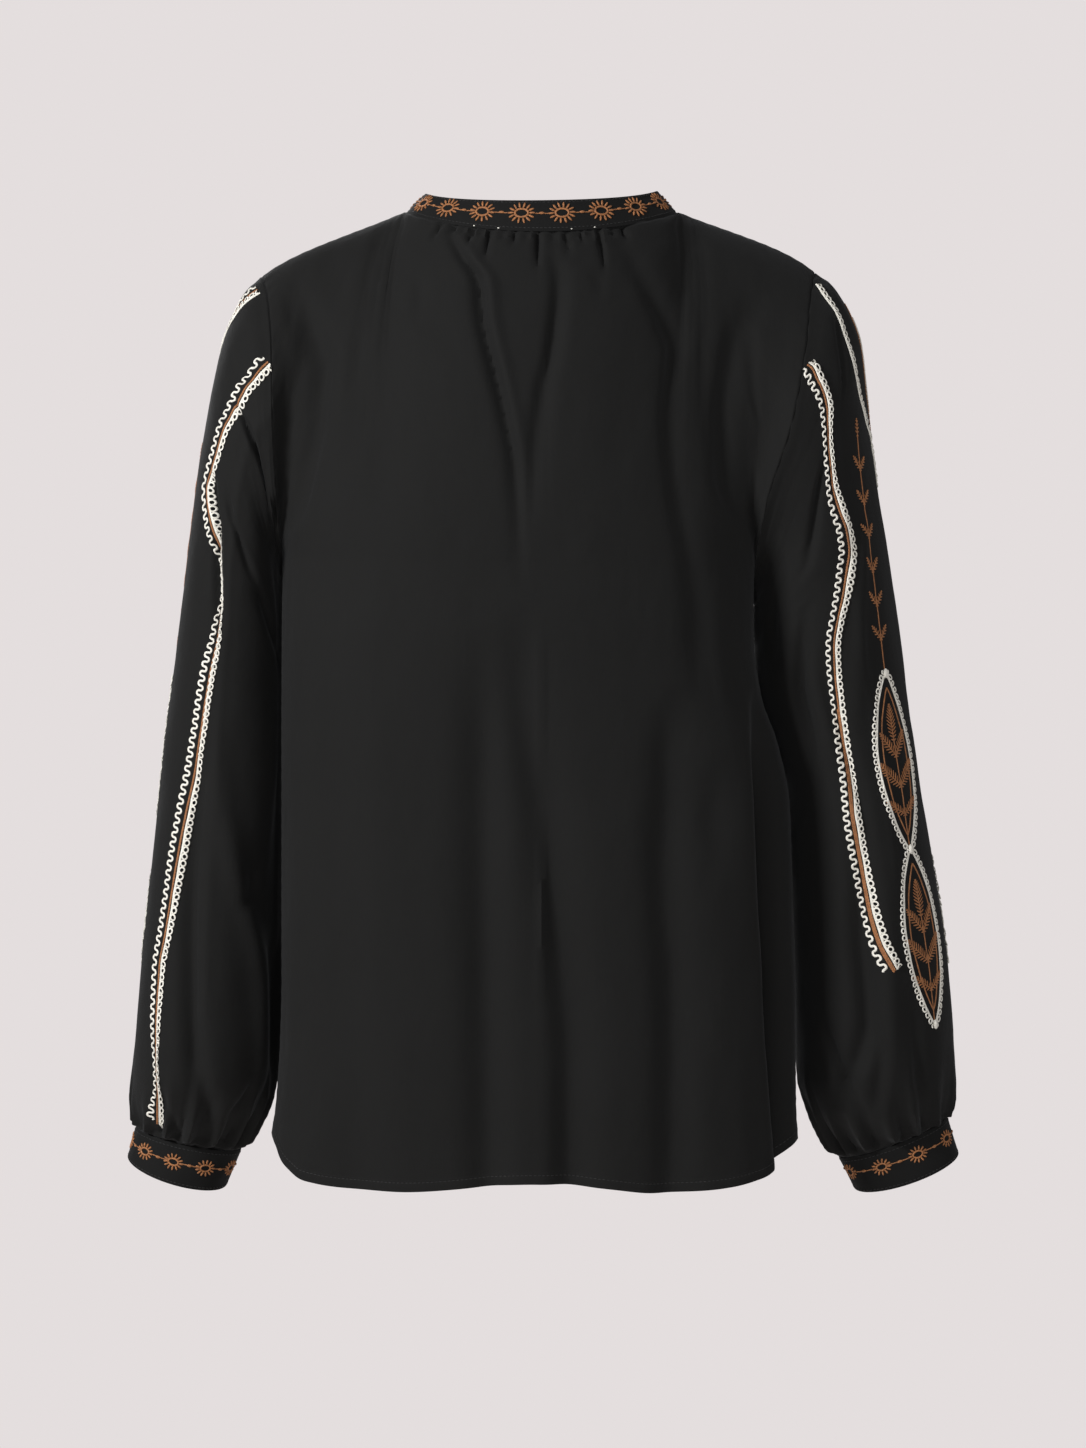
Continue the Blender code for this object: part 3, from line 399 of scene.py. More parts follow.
def body_ring(t, z, side):
    """The level ring at a height, t from -1 at the right side to 1 at the left."""
    heights = column(BODY, BODY_COLUMNS, "z")
    left, right, widest, back, front = (
        smooth(heights, column(BODY, BODY_COLUMNS, name), z) for name in BODY_COLUMNS[1:]
    )
    power = 2 / (BACK_SQUARE if side > 0 else FRONT_SQUARE)
    angle = np.abs(t) * math.pi / 2
    half = np.where(t >= 0, left, right)
    x = np.sign(t) * half * np.sin(angle) ** power
    reach = (back if side > 0 else front) - widest
    y = widest + reach * np.clip(np.cos(angle), 0, 1) ** power
    return stack(x, y, z)


def armhole(angle, arm):
    """The armhole seam, by degrees round from the shoulder tip by way of the back."""
    degrees = column(ARMHOLE, ARMHOLE_COLUMNS, "angle")
    degrees = np.concatenate([degrees[-2:] - 360, degrees, degrees[:3] + 360])
    axes = []
    for axis in "xyz":
        values = column(ARMHOLE, ARMHOLE_COLUMNS, f"{arm}_{axis}")
        values = np.concatenate([values[-2:], values, values[:3]])
        axes.append(smooth(degrees, values, angle))
    return stack(*axes)


def top_edge(t, side):
    """The neck seam for the inner share of a panel and the shoulder seam for the rest."""
    inside = np.clip(np.abs(t) / NECK_SHARE, 0, 1) * math.pi / 2
    turn = inside if side > 0 else math.pi - inside
    turn = np.sign(t) * turn
    neck = neck_point(turn)
    out = np.clip((np.abs(t) - NECK_SHARE) / (1 - NECK_SHARE), 0, 1)
    tip, drop, hook = (
        np.where(t >= 0, a, b) for a, b in zip(SHOULDER_LEFT, SHOULDER_RIGHT)
    )
    x = np.sign(t) * (NECK_HALF_WIDTH + (tip - NECK_HALF_WIDTH) * out)
    shoulder = stack(x, NECK_Y, -drop * out - hook * out**HOOK_POWER)
    on_shoulder = (np.abs(t) > NECK_SHARE)[..., None]
    return np.where(on_shoulder, shoulder, neck), turn


def column_curve(t, s, foot, side):
    """A cubic from the underarm ring to the top edge: plumb below, square to the edge above."""
    top, turn = top_edge(t, side)
    rise = top[..., 2] - foot[..., 2]
    run = foot[..., 1] - top[..., 1]
    across = ease(np.abs(t) / NECK_SHARE)
    on_shoulder = ease((np.abs(t) / NECK_SHARE - ROLL_START) / ROLL_SPAN)
    lean, climb = NECK_ARRIVAL[side]
    end_x = -(1 - on_shoulder) * NECK_SIDE_LEAN * np.sin(turn)
    end_y = -(1 - on_shoulder) * lean * rise * np.cos(turn)
    end_y = end_y - on_shoulder * ROLL_FLATNESS * run
    steep = climb * rise * np.cos(turn) ** 2 + NECK_SIDE_CLIMB * np.sin(turn) ** 2
    end_z = (1 - on_shoulder) * steep
    start_z = rise * (1 + ROLL_PLUMP * across)
    a = (2 * s**3 - 3 * s**2 + 1)[..., None]
    b = s**3 - 2 * s**2 + s
    c = (3 * s**2 - 2 * s**3)[..., None]
    d = s**3 - s**2
    return a * foot + c * top + stack(d * end_x, d * end_y, b * start_z + d * end_z)


def hem_height(t, side):
    """The hem's height along a panel."""
    return smooth(
        column(HEM, HEM_COLUMNS, "share"),
        column(HEM, HEM_COLUMNS, "back" if side > 0 else "front"),
        np.sign(t) * np.sin(np.clip(np.abs(t), 0, 1) * math.pi / 2),
    )


def underarm_height(t):
    """The height of the ring where a panel's low and high parts meet."""
    return UNDERARM_Z["right"] + (UNDERARM_Z["left"] - UNDERARM_Z["right"]) * (t + 1) / 2


def body(t, v, side):
    """A body panel: v is 0 at the hem, 1 at the underarms and 2 at neck and shoulders."""
    t, v = np.broadcast_arrays(np.asarray(t, float), np.asarray(v, float))
    hem = hem_height(t, side)
    underarm = underarm_height(t)
    low = body_ring(t, hem + np.clip(v, 0, 1) * (underarm - hem), side)
    foot = body_ring(t, underarm, side)
    s = np.clip(v - 1, 0, 1)
    high = column_curve(t, s, foot, side)
    for arm, sign in (("left", 1), ("right", -1)):
        edge = np.full_like(t, sign)
        edge_foot = body_ring(edge, np.full_like(t, UNDERARM_Z[arm]), side)
        plain = column_curve(edge, s, edge_foot, side)
        angle = 180 * (1 - s) if side > 0 else 360 - 180 * (1 - s)
        weight = np.clip(sign * t, 0, 1) ** EDGE_POWER
        high = high + weight[..., None] * (armhole(angle, arm) - plain)
    apart = np.array((0, side * SEAM_GAP / 2, 0))
    return np.where((v > 1)[..., None], high, low) + apart


def eased_body(t, v, side):
    """A body panel with the fold line that runs down from each neck corner rounded away."""
    t, v = np.broadcast_arrays(np.asarray(t, float), np.asarray(v, float))
    points = body(t, v, side)
    near = np.exp(-(((np.abs(t) - NECK_SHARE) / CORNER_SPREAD) ** 2))
    reach = CORNER_ROUND * near * ease((2 - v) / CORNER_START) * ease((v - 0.8) / 0.6)
    close = reach > 0.002
    at_t, at_v, at_reach = t[close], v[close], reach[close]
    points[close] = sum(
        share * body(at_t + step * at_reach, at_v, side) for step, share in CORNER_STEPS
    )
    return points


def ring(angle, along, rows):
    """A tube's point: degrees round from its outer edge by way of the back, 0 to 1 along."""
    at = np.linspace(0, 1, len(rows))
    outer_x, outer_z, inner_x, inner_z, y, half_depth, tilt = (
        smooth(at, column(rows, SLEEVE_COLUMNS, name), along) for name in SLEEVE_COLUMNS
    )
    turn = np.radians(angle)
    out = np.cos(turn)
    back = half_depth * np.sin(turn)
    x = (outer_x + inner_x) / 2 + out * (outer_x - inner_x) / 2
    z = (outer_z + inner_z) / 2 + out * (outer_z - inner_z) / 2 - tilt * back
    return stack(x, y + back, z)


def sleeve(angle, along, arm):
    """A sleeve, whose first ring follows the armhole seam a seam gap away."""
    angle, along = np.broadcast_arrays(np.asarray(angle, float), np.asarray(along, float))
    rows = SLEEVE_LEFT if arm == "left" else SLEEVE_RIGHT
    outward = 1 if arm == "left" else -1
    seam = armhole(angle % 360, arm) + np.array((outward * ARMHOLE_GAPS * SEAM_GAP, 0, 0))
    share = np.clip(1 - along / SLEEVE_BLEND, 0, 1)[..., None] ** 2
    return ring(angle, along, rows) + share * (seam - ring(angle, 0 * along, rows))


def collar(turn, height):
    """The collar band, height 0 at the neck seam and 1 at its free edge."""
    turn, height = np.broadcast_arrays(np.asarray(turn, float), np.asarray(height, float))
    side = np.sin(turn) ** 2
    base = neck_point(turn)
    rise = COLLAR_RISE_MIDDLE + (COLLAR_RISE_SIDE - COLLAR_RISE_MIDDLE) * side
    lean = COLLAR_LEAN_MIDDLE + (COLLAR_LEAN_SIDE - COLLAR_LEAN_MIDDLE) * side
    top = base + stack(-lean * np.sin(turn), -lean * np.cos(turn), rise)
    top[..., 2] -= COLLAR_TILT * top[..., 0]
    edge = top - base
    length = np.linalg.norm(edge, axis=-1, keepdims=True)
    clear = COLLAR_GAPS * SEAM_GAP / length
    return base + edge * (clear + (1 - clear) * height[..., None])


def seen(points):
    """Where points show from the eye, in millimetres on the plane y = 0."""
    scale = EYE_DISTANCE / (EYE_DISTANCE - points[..., 1])
    return points[..., 0] * scale, EYE_HEIGHT + (points[..., 2] - EYE_HEIGHT) * scale


def located(form, x, z, us, vs):
    """The form's own two coordinates where points show at x and z."""
    grid_x, grid_z = seen(form(us[None, :], vs[:, None]))
    u, v = [], []
    for one_x, one_z in zip(x, z):
        nearest = np.argmin((grid_x - one_x) ** 2 + (grid_z - one_z) ** 2)
        u.append(us[nearest % us.size])
        v.append(vs[nearest // us.size])
    u, v = np.array(u), np.array(v)
    du, dv = us[1] - us[0], vs[1] - vs[0]
    for _ in range(4):
        at_x, at_z = seen(form(u, v))
        ux, uz = seen(form(u + du, v))
        vx, vz = seen(form(u, v + dv))
        a, b, c, d = (ux - at_x) / du, (vx - at_x) / dv, (uz - at_z) / du, (vz - at_z) / dv
        det = a * d - b * c
        det = np.where(np.abs(det) < 1e-9, 1e9, det)
        off_x, off_z = x - at_x, z - at_z
        u = np.clip(u + np.clip((d * off_x - b * off_z) / det, -du, du), us[0], us[-1])
        v = np.clip(v + np.clip((a * off_z - c * off_x) / det, -dv, dv), vs[0], vs[-1])
    return u, v


def located_folds(form, folds, us, vs):
    """Fold rows as lines in the form's coordinates, each with its two half widths."""
    lines = []
    for left, right, path in folds:
        x, z, depth = np.array(path, float).T
        u, v = located(form, x, z, us, vs)
        lines.append((left, right, list(zip(u, v, depth))))
    return lines


def fold_depth(u, v, speed, lines):
    """How far in the folds take each point, from how far it lies from each line."""
    total = np.zeros(np.broadcast(u, v).shape)
    for left, right, path in lines:
        rows = sorted(path, key=lambda row: row[1])
        at = np.array([row[1] for row in rows])
        keep = np.concatenate([[True], np.diff(at) > 1e-6])
        at = at[keep]
        middle = smooth(at, np.array([row[0] for row in rows])[keep], v)
        depth = smooth(at, np.array([row[2] for row in rows])[keep], v)
        off = (u - middle) * speed
        width = np.where(off > 0, left, right)
        total = total + depth * np.exp(-((off / width) ** 2))
    return total


def gather_lines(gathers):
    """Gathers as folds that start at the neck seam."""
    found = []
    for x, length, depth in gathers:
        turn = math.asin(x / NECK_HALF_WIDTH)
        t = turn / (math.pi / 2) * NECK_SHARE
        drop = length / GATHER_SPAN
        path = (
            (t * 1.04, 2 - drop, 0),
            (t * 1.02, 2 - drop / 2, 0.8 * depth),
            (t, 1.97, depth),
            (t, 2, 0.7 * depth),
        )
        found.append((GATHER_HALF_WIDTH, GATHER_HALF_WIDTH, path))
    return found


def crumple(u, v, layers, seed):
    """Soft uneven dents over u and v from 0 to 1, repeating across u."""
    total = 0
    for number, (across, along, depth) in enumerate(layers):
        table = np.random.default_rng(seed + number).uniform(-1, 1, (along + 2, across))
        x = (u % 1) * across
        y = np.clip(v, 0, 1) * along
        i, j = np.floor(x).astype(int) % across, np.floor(y).astype(int)
        a, b = ease(x - np.floor(x)), ease(y - j)
        i2 = (i + 1) % across
        low = table[j, i] * (1 - a) + table[j, i2] * a
        high = table[j + 1, i] * (1 - a) + table[j + 1, i2] * a
        total = total + depth * (low * (1 - b) + high * b)
    return total


def dip(distance):
    """The groove at a seam, by the distance from it."""
    return SEAM_DIP * np.exp(-((distance / SEAM_DIP_WIDTH) ** 2))


def pucker(along, distance, phase):
    """Small waves beside a seam."""
    wave = np.cos(2 * math.pi * (along / PUCKER_LENGTH + 0.35 * np.sin(along / 23 + phase)))
    return PUCKER_DEPTH * wave * np.exp(-distance / PUCKER_REACH)


class Cloth:
    """The outside of a piece: its plain form, its folds and its fine relief."""

    def __init__(self, form, outward, steps, limits, lines=(), relief=None):
        self.form = form
        self.outward = outward
        self.steps = steps
        self.limits = limits
        self.lines = lines
        self.relief = relief

    def inside(self, u, v):
        """The coordinates kept off the form's ends, where it can't be differenced."""
        (u_low, u_high), (v_low, v_high) = self.limits
        return np.clip(u, u_low, u_high), np.clip(v, v_low, v_high)

    def steps_at(self, u, v):
        """The plain form's steps along its two coordinates."""
        u, v = self.inside(u, v)
        du, dv = self.steps
        along_u = (self.form(u + du, v) - self.form(u - du, v)) / (2 * du)
        along_v = (self.form(u, v + dv) - self.form(u, v - dv)) / (2 * dv)
        return along_u, along_v

    def at(self, u, v):
        """Points on the outside of the cloth."""
        along_u, along_v = self.steps_at(u, v)
        way = unit(np.cross(along_u, along_v) * self.outward)
        speed_u = np.linalg.norm(along_u, axis=-1)
        speed_v = np.linalg.norm(along_v, axis=-1)
        inner_u, inner_v = self.inside(u, v)
        depth = fold_depth(inner_u, inner_v, speed_u, self.lines)
        if self.relief is not None:
            depth = depth + self.relief(u, v, speed_u, speed_v)
        return self.form(u, v) - depth[..., None] * way

    def out(self, u, v, reach=1.0):
        """The way out of the cloth at each point."""
        along_u, along_v = self.steps_at(u, v)
        du = reach / np.maximum(np.linalg.norm(along_u, axis=-1), 1e-6)
        dv = reach / np.maximum(np.linalg.norm(along_v, axis=-1), 1e-6)
        inner_u, inner_v = self.inside(u, v)
        across = self.at(inner_u + du, inner_v) - self.at(inner_u - du, inner_v)
        down = self.at(inner_u, inner_v + dv) - self.at(inner_u, inner_v - dv)
        return unit(np.cross(across, down) * self.outward)


def panel_relief(side, seed):
    """Crumples, hem and seam grooves of a body panel."""

    def relief(t, v, speed_t, speed_v):
        low = (underarm_height(t) - hem_height(t, side)) * np.clip(v, 0, 1)
        up = low + np.clip(v - 1, 0, 1) * GATHER_SPAN
        edge = (1 - np.abs(t)) * speed_t
        top = (2 - v) * speed_v
        depth = crumple((t + 1) / 2, v / 2, PANEL_CRUMPLES, seed) * ease(edge / 25) * ease(top / 20)
        depth = depth + dip(edge) + dip(top)
        depth = depth + pucker(up, edge, seed) + 0.6 * pucker(t * 190, top, seed + 2)
        hem = ease((HEM_WIDTH + 0.5 - up) / 1.0)
        ripple = 0.12 * np.sin(t * 190 / 4.1 + 2 * np.sin(t * 9)) * np.exp(-((up - HEM_WIDTH) / 4) ** 2)
        depth = depth - HEM_STEP * hem + HEM_GROOVE * np.exp(-(((up - HEM_WIDTH + 1.0) / 0.6) ** 2))
        return depth + ripple

    return relief


def wrist_phase(angle):
    """Where the wrist gathers' waves stand, uneven round the wrist, in turns."""
    turn = np.radians(angle)
    return WRIST_GATHERS * angle / 360 + 0.16 * np.sin(2 * turn + 0.6) + 0.1 * np.sin(5 * turn)


def sleeve_relief(seed):
    """Crumples, wrist gathers and seam grooves of a sleeve."""
    length = SLEEVE_LENGTH

    def relief(angle, along, speed_a, speed_v):
        turn = (angle % 360) / 360
        from_cuff = np.clip((1 - along) / WRIST_REACH, 0, 1)
        uneven = 1 + 0.35 * crumple(turn, 0 * along, ((16, 1, 1.0),), seed + 9)
        grown = ease(from_cuff / WRIST_START)
        shape = -np.cos(2 * math.pi * wrist_phase(angle))
        shape = shape - 0.35 * np.cos(4 * math.pi * wrist_phase(angle) + 0.8)
        waves = WRIST_DEPTH * grown * (1 - ease(from_cuff / np.clip(uneven, 0.5, 1.4))) * shape
        fine = 0.35 * np.cos(6 * math.pi * wrist_phase(angle) + 1.0)
        fine = fine * np.exp(-from_cuff / 0.22) * ease(from_cuff / 0.03)
        start, end = along * length, (1 - along) * length
        depth = crumple(turn, along, SLEEVE_CRUMPLES, seed) * ease(start / 20) * ease(end / 15)
        depth = depth + dip(start) + dip(end) + waves + fine
        seam = np.abs((turn - 0.5 + 0.5) % 1 - 0.5) * 360 * speed_a
        depth = depth + pucker(turn * 420, start, seed)
        return depth + 0.7 * dip(seam) + 0.6 * pucker(start, seam, seed + 3)

    return relief


def band_relief(length, seed):
    """A doubled band with a rounded free edge, a little uneven."""

    def relief(turn, height, speed_u, speed_v):
        free = (1 - height) * speed_v
        radius = BAND_THICK / 2
        inset = np.clip(radius - free, 0, radius)
        rounded = radius - np.sqrt(np.maximum(radius**2 - inset**2, 0))
        uneven = crumple(turn / length, height, ((23, 2, 0.25), (61, 3, 0.1)), seed)
        return rounded + uneven * ease(free / 4) + 0.8 * dip(height * speed_v)

    return relief


# How far each side of a neck corner a panel is rounded, in shares of its half width.
CORNER_SPREAD = 0.13
CORNER_ROUND = 0.12
CORNER_START = 0.14
CORNER_STEPS = ((-1, 0.125), (-0.5, 0.25), (0, 0.25), (0.5, 0.25), (1, 0.125))

PANEL_LIMITS = ((-0.9985, 0.9985), (0.003, 1.997))
SLEEVE_LIMITS = ((-720, 720), (0.002, 0.998))
PANEL_STEPS = (0.001, 0.001)
SLEEVE_STEPS = (0.2, 0.0015)
LOOK_T = np.linspace(-0.998, 0.998, 260)
LOOK_V = np.linspace(0.004, 1.996, 260)
LOOK_ANGLE = np.linspace(2, 178, 220)
LOOK_ALONG = np.linspace(0.006, 0.994, 300)


def make_panel(side, folds, gathers, seed):
    def form(t, v):
        return eased_body(t, v, side)

    lines = located_folds(form, folds, LOOK_T, LOOK_V) + gather_lines(gathers)
    return Cloth(form, -side, PANEL_STEPS, PANEL_LIMITS, lines, panel_relief(side, seed))


def make_sleeve(arm, folds, seed):
    def form(angle, along):
        return sleeve(angle, along, arm)

    lines = located_folds(form, folds, LOOK_ANGLE, LOOK_ALONG) + list(SLEEVE_HIDDEN_FOLDS)
    if arm == "left":
        lines = [(right, left, path) for left, right, path in lines]
    outward = -1 if arm == "left" else 1
    return Cloth(form, outward, SLEEVE_STEPS, SLEEVE_LIMITS, lines, sleeve_relief(seed))


def make_cuff(rows, arm, seed):
    def form(angle, along):
        return ring(angle, along, rows)

    limits = ((-720, 720), (0.02, 0.98))
    return Cloth(form, -1 if arm == "left" else 1, (0.5, 0.02), limits, (), band_relief(360, seed))


def make_collar(seed):
    limits = ((-3.5, 3.5), (0.02, 0.98))
    return Cloth(collar, -1, (0.004, 0.02), limits, (), band_relief(2 * math.pi, seed))


def grid_inward(points, outward, closed):
    """The way in at each point of a grid, from its neighbours."""
    if closed:
        across = np.roll(points, -1, axis=1) - np.roll(points, 1, axis=1)
    else:
        across = np.gradient(points, axis=1)
    return unit(np.cross(across, np.gradient(points, axis=0)) * -outward)


def lengths(points, axis):
    """Running lengths along one axis of a grid of points."""
    step = np.linalg.norm(np.diff(points, axis=axis), axis=-1)
    zero = np.zeros_like(np.take(step, [0], axis=axis))
    return np.concatenate([zero, np.cumsum(step, axis=axis)], axis=axis)


def shell(name, outer, outward, wall, material, closed=False, gone=None):
    """A closed thin shell from a grid of outer points, with its cloth's lengths as UVs."""
    rows, columns = outer.shape[:2]
    inward = grid_inward(outer, outward, closed)
    inner = outer + inward * wall
    wide = np.concatenate([outer, outer[:, :1]], axis=1) if closed else outer
    across = lengths(wide, 1)
    across = across - across[:, across.shape[1] // 2 : across.shape[1] // 2 + 1]
    down = lengths(wide, 0)
    down = down - down[-1:]
    r, c = np.meshgrid(np.arange(rows - 1), np.arange(wide.shape[1] - 1), indexing="ij")
    keep = np.ones(r.shape, bool) if gone is None else ~gone
    r, c = r[keep], c[keep]
    corners = [(r, c), (r, c + 1), (r + 1, c + 1), (r + 1, c)]
    quads = np.stack([a * columns + b % columns for a, b in corners], 1)
    uv = np.stack([np.stack([across[a, b], down[a, b]], -1) for a, b in corners], 1)
    under = rows * columns
    starts = quads.reshape(-1)
    ends = np.roll(quads, -1, axis=1).reshape(-1)
    whole = 2 * under
    rim = ~np.isin(starts * whole + ends, ends * whole + starts)
    starts, ends = starts[rim], ends[rim]
    rim_quads = np.stack([ends, starts, under + starts, under + ends], 1)
    rim_uv = uv.reshape(-1, 2)[rim]
    end_uv = np.roll(uv, -1, axis=1).reshape(-1, 2)[rim]
    faces = np.concatenate([quads, under + quads[:, ::-1], rim_quads])
    loops = np.concatenate(
        [uv, uv[:, ::-1], np.stack([end_uv, rim_uv, rim_uv, end_uv], 1)]
    ).reshape(-1, 2)
    points = np.concatenate([outer.reshape(-1, 3), inner.reshape(-1, 3)])
    a, b, c2, d2 = (points[faces[:, k]] for k in range(4))
    volume = (a * np.cross(b, c2)).sum() + (a * np.cross(c2, d2)).sum()
    if volume < 0:
        faces = faces[:, ::-1]
        loops = loops.reshape(-1, 4, 2)[:, ::-1].reshape(-1, 2)
    used, remap = np.unique(faces, return_inverse=True)
    faces = remap.reshape(faces.shape)
    mesh = bpy.data.meshes.new(name)
    mesh.from_pydata((points[used] * MM).tolist(), [], faces.tolist())
    mesh.uv_layers.new(name="UVMap").data.foreach_set("uv", (loops * MM).astype(np.float32).ravel())
    return finished(name, mesh, material)


def finished(name, mesh, material, sharp=55):
    """A mesh as an object with its material, smooth but for its sharp edges."""
    mesh.shade_smooth()
    mesh.set_sharp_from_angle(angle=math.radians(sharp))
    mesh.materials.clear()
    mesh.materials.append(material)
    piece = bpy.data.objects.new(name, mesh)
    bpy.context.scene.collection.objects.link(piece)
    return piece


# How far edges are turned in under their neighbours, and the counts of a panel's columns
# and rows: inner and outer columns, rows below and above the underarms.
TUCK = 1.7
GRID_COLUMNS = ("inner", "outer", "low", "high")
PANEL_GRID = {1: (125, 40, 104, 88), -1: (101, 34, 84, 72)}


def tucked_panel(points, t, v, side):
    """The panel with its edge turned in under the collar, and the back's under the front."""
    last_t, last = t[-1], points[-1]
    turn = top_edge(last_t, side)[1]
    inward = stack(-np.sin(turn), -np.cos(turn), 0 * turn)
    under_collar = collar(turn, 0.09) + 0.9 * inward
    under_front = last + np.array((0, -TUCK, -1.0)) * (side > 0) + np.array((0, 0, -0.2))
    weight = ease((NECK_SHARE + 0.01 - np.abs(last_t)) / 0.02)[:, None]
    rows = np.concatenate([points, (weight * under_collar + (1 - weight) * under_front)[None]])
    if side < 0:
        return rows
    heights = np.append(v[:, 0], 2.0)
    low = ease((1.02 - heights) / 0.04)[:, None]
    ends = []
    for column_at, sign in ((0, -1), (-1, 1)):
        turned_in = np.array((-sign * 1.0, -TUCK, 0)) * low + np.array((-sign * 0.2, 0, 0)) * (1 - low)
        ends.append((rows[:, column_at] + turned_in)[:, None])
    return np.concatenate([ends[0], rows, ends[1]], axis=1)


def panel_piece(name, cloth, side, material):
    """The back or the front, with the slit in the front."""
    counts = dict(zip(GRID_COLUMNS, PANEL_GRID[side]))
    inner = np.linspace(-0.43, 0.43, counts["inner"])
    fine = (0.447, 0.452, 0.46)
    edge = (0.985, 0.991, 0.995, 0.998, 1)
    outer = np.concatenate([fine, np.linspace(0.472, 0.975, counts["outer"]), edge])
    columns = np.sort(np.concatenate([inner, outer, -outer]))
    hem = np.array((0, 1.2, 3, 4.6, 5.6, 6.2, 6.8, 7.4, 8.2, 10)) / HEM_TO_UNDERARM
    top = np.array((1.97, 1.978, 1.985, 1.99, 1.994, 1.9975, 2))
    low, high = np.linspace(0.033, 1, counts["low"]), np.linspace(1.011, 1.96, counts["high"])
    rows = np.concatenate([hem, low, high, top])
    t = np.tile(columns, (rows.size, 1))
    gone = None
    if side < 0:
        half = math.asin(SLIT_HALF_WIDTH / NECK_HALF_WIDTH) / (math.pi / 2) * NECK_SHARE
        foot = int(np.argmin(np.abs(rows - SLIT_FOOT)))
        middle = columns.size // 2
        share = np.clip((rows - rows[foot]) / (2 - rows[foot]), SLIT_FOOT_SHARE, 1)
        share = np.where(rows < rows[foot], SLIT_FOOT_SHARE, share)
        slot = half * share[:, None] * np.sign(columns) * (1 - np.abs(columns) / 0.43)
        opened = ease((rows - rows[foot] + 0.06) / 0.06)[:, None]
        t = t + slot * opened * (np.abs(columns) < 0.43)
        gone = np.zeros((rows.size - 1, columns.size - 1), bool)
        gone[foot:, middle - 1 : middle + 1] = True
    v = np.tile(rows[:, None], (1, columns.size))
    points = tucked_panel(cloth.at(t, v), t, v, side)
    if gone is not None:
        gone = np.concatenate([gone, gone[-1:]])
    return shell(name, points, -side, CLOTH_THICK, material, gone=gone)


def sleeve_piece(name, cloth, arm, material):
    """A sleeve as one seamed tube, its ends turned in under the body and into the cuff."""
    outward = -1 if arm == "left" else 1
    seam = np.linspace(0, 360, 128, endpoint=False)
    fine = np.linspace(-20, 380, 4001)
    waves = np.arange(0, 8 * WRIST_GATHERS) / 8
    wrist = np.interp(waves, wrist_phase(fine), fine)
    first = np.array((0, 0.7, 1.5, 2.6, 4)) / SLEEVE_LENGTH
    last = 1 - np.array((12, 10, 8.5, 7, 5.6, 4.2, 3, 2, 1, 0)) / SLEEVE_LENGTH
    long_part, gathered_part = np.linspace(0.011, 0.9, 165), np.linspace(0.9045, 0.977, 20)
    along = np.concatenate([first, long_part, gathered_part, last])[:, None]
    angle = seam + (wrist - seam) * ease(along / COLUMNS_EVEN_BY)
    points = cloth.at(angle, along + 0 * angle)
    first, last = points[0], points[-1]
    under_body = first + 0.9 * unit(first.mean(0) - first) + np.array((outward * TUCK, 0, 0))
    into_cuff = last + TUCK * unit(last - points[-6]) + 0.8 * unit(last.mean(0) - last)
    points = np.concatenate([under_body[None], points, into_cuff[None]])
    return shell(name, points, outward, CLOTH_THICK, material, closed=True)


def band_rows():
    """Rows of a band, close together at its rounded free edge."""
    free_edge = (0.93, 0.955, 0.972, 0.985, 0.994, 1)
    return np.concatenate([[0, 0.03, 0.07, 0.12], np.linspace(0.2, 0.88, 8), free_edge])


def band_wall(rows, length):
    """A band's thickness by row: full, then closing round the free edge."""
    free = (1 - rows) * length
    radius = BAND_THICK / 2
    inset = np.clip(radius - free, 0, radius)
    return (2 * np.sqrt(np.maximum(radius**2 - inset**2, 0.02)))[:, None, None]


def collar_piece(name, cloth, material):
    """The stand collar, open at the slit."""
    end = math.pi - math.asin(SLIT_HALF_WIDTH / NECK_HALF_WIDTH)
    turns = np.linspace(-end, end, 260)
    turn, height = np.meshgrid(turns, band_rows())
    wall = band_wall(band_rows(), COLLAR_HEIGHT)
    return shell(name, cloth.at(turn, height), -1, wall, material)


def cuff_piece(name, cloth, outward, material):
    """A closed cuff band."""
    angle, along = np.meshgrid(np.linspace(0, 360, 120, endpoint=False), band_rows())
    wall = band_wall(band_rows(), CUFF_HEIGHT)
    return shell(name, cloth.at(angle, along), outward, wall, material, closed=True)


# Steps along a route, and how far its way across is averaged.
ROUTE_STEP = 1.5
ROUTE_EVEN_REACH = 18.0


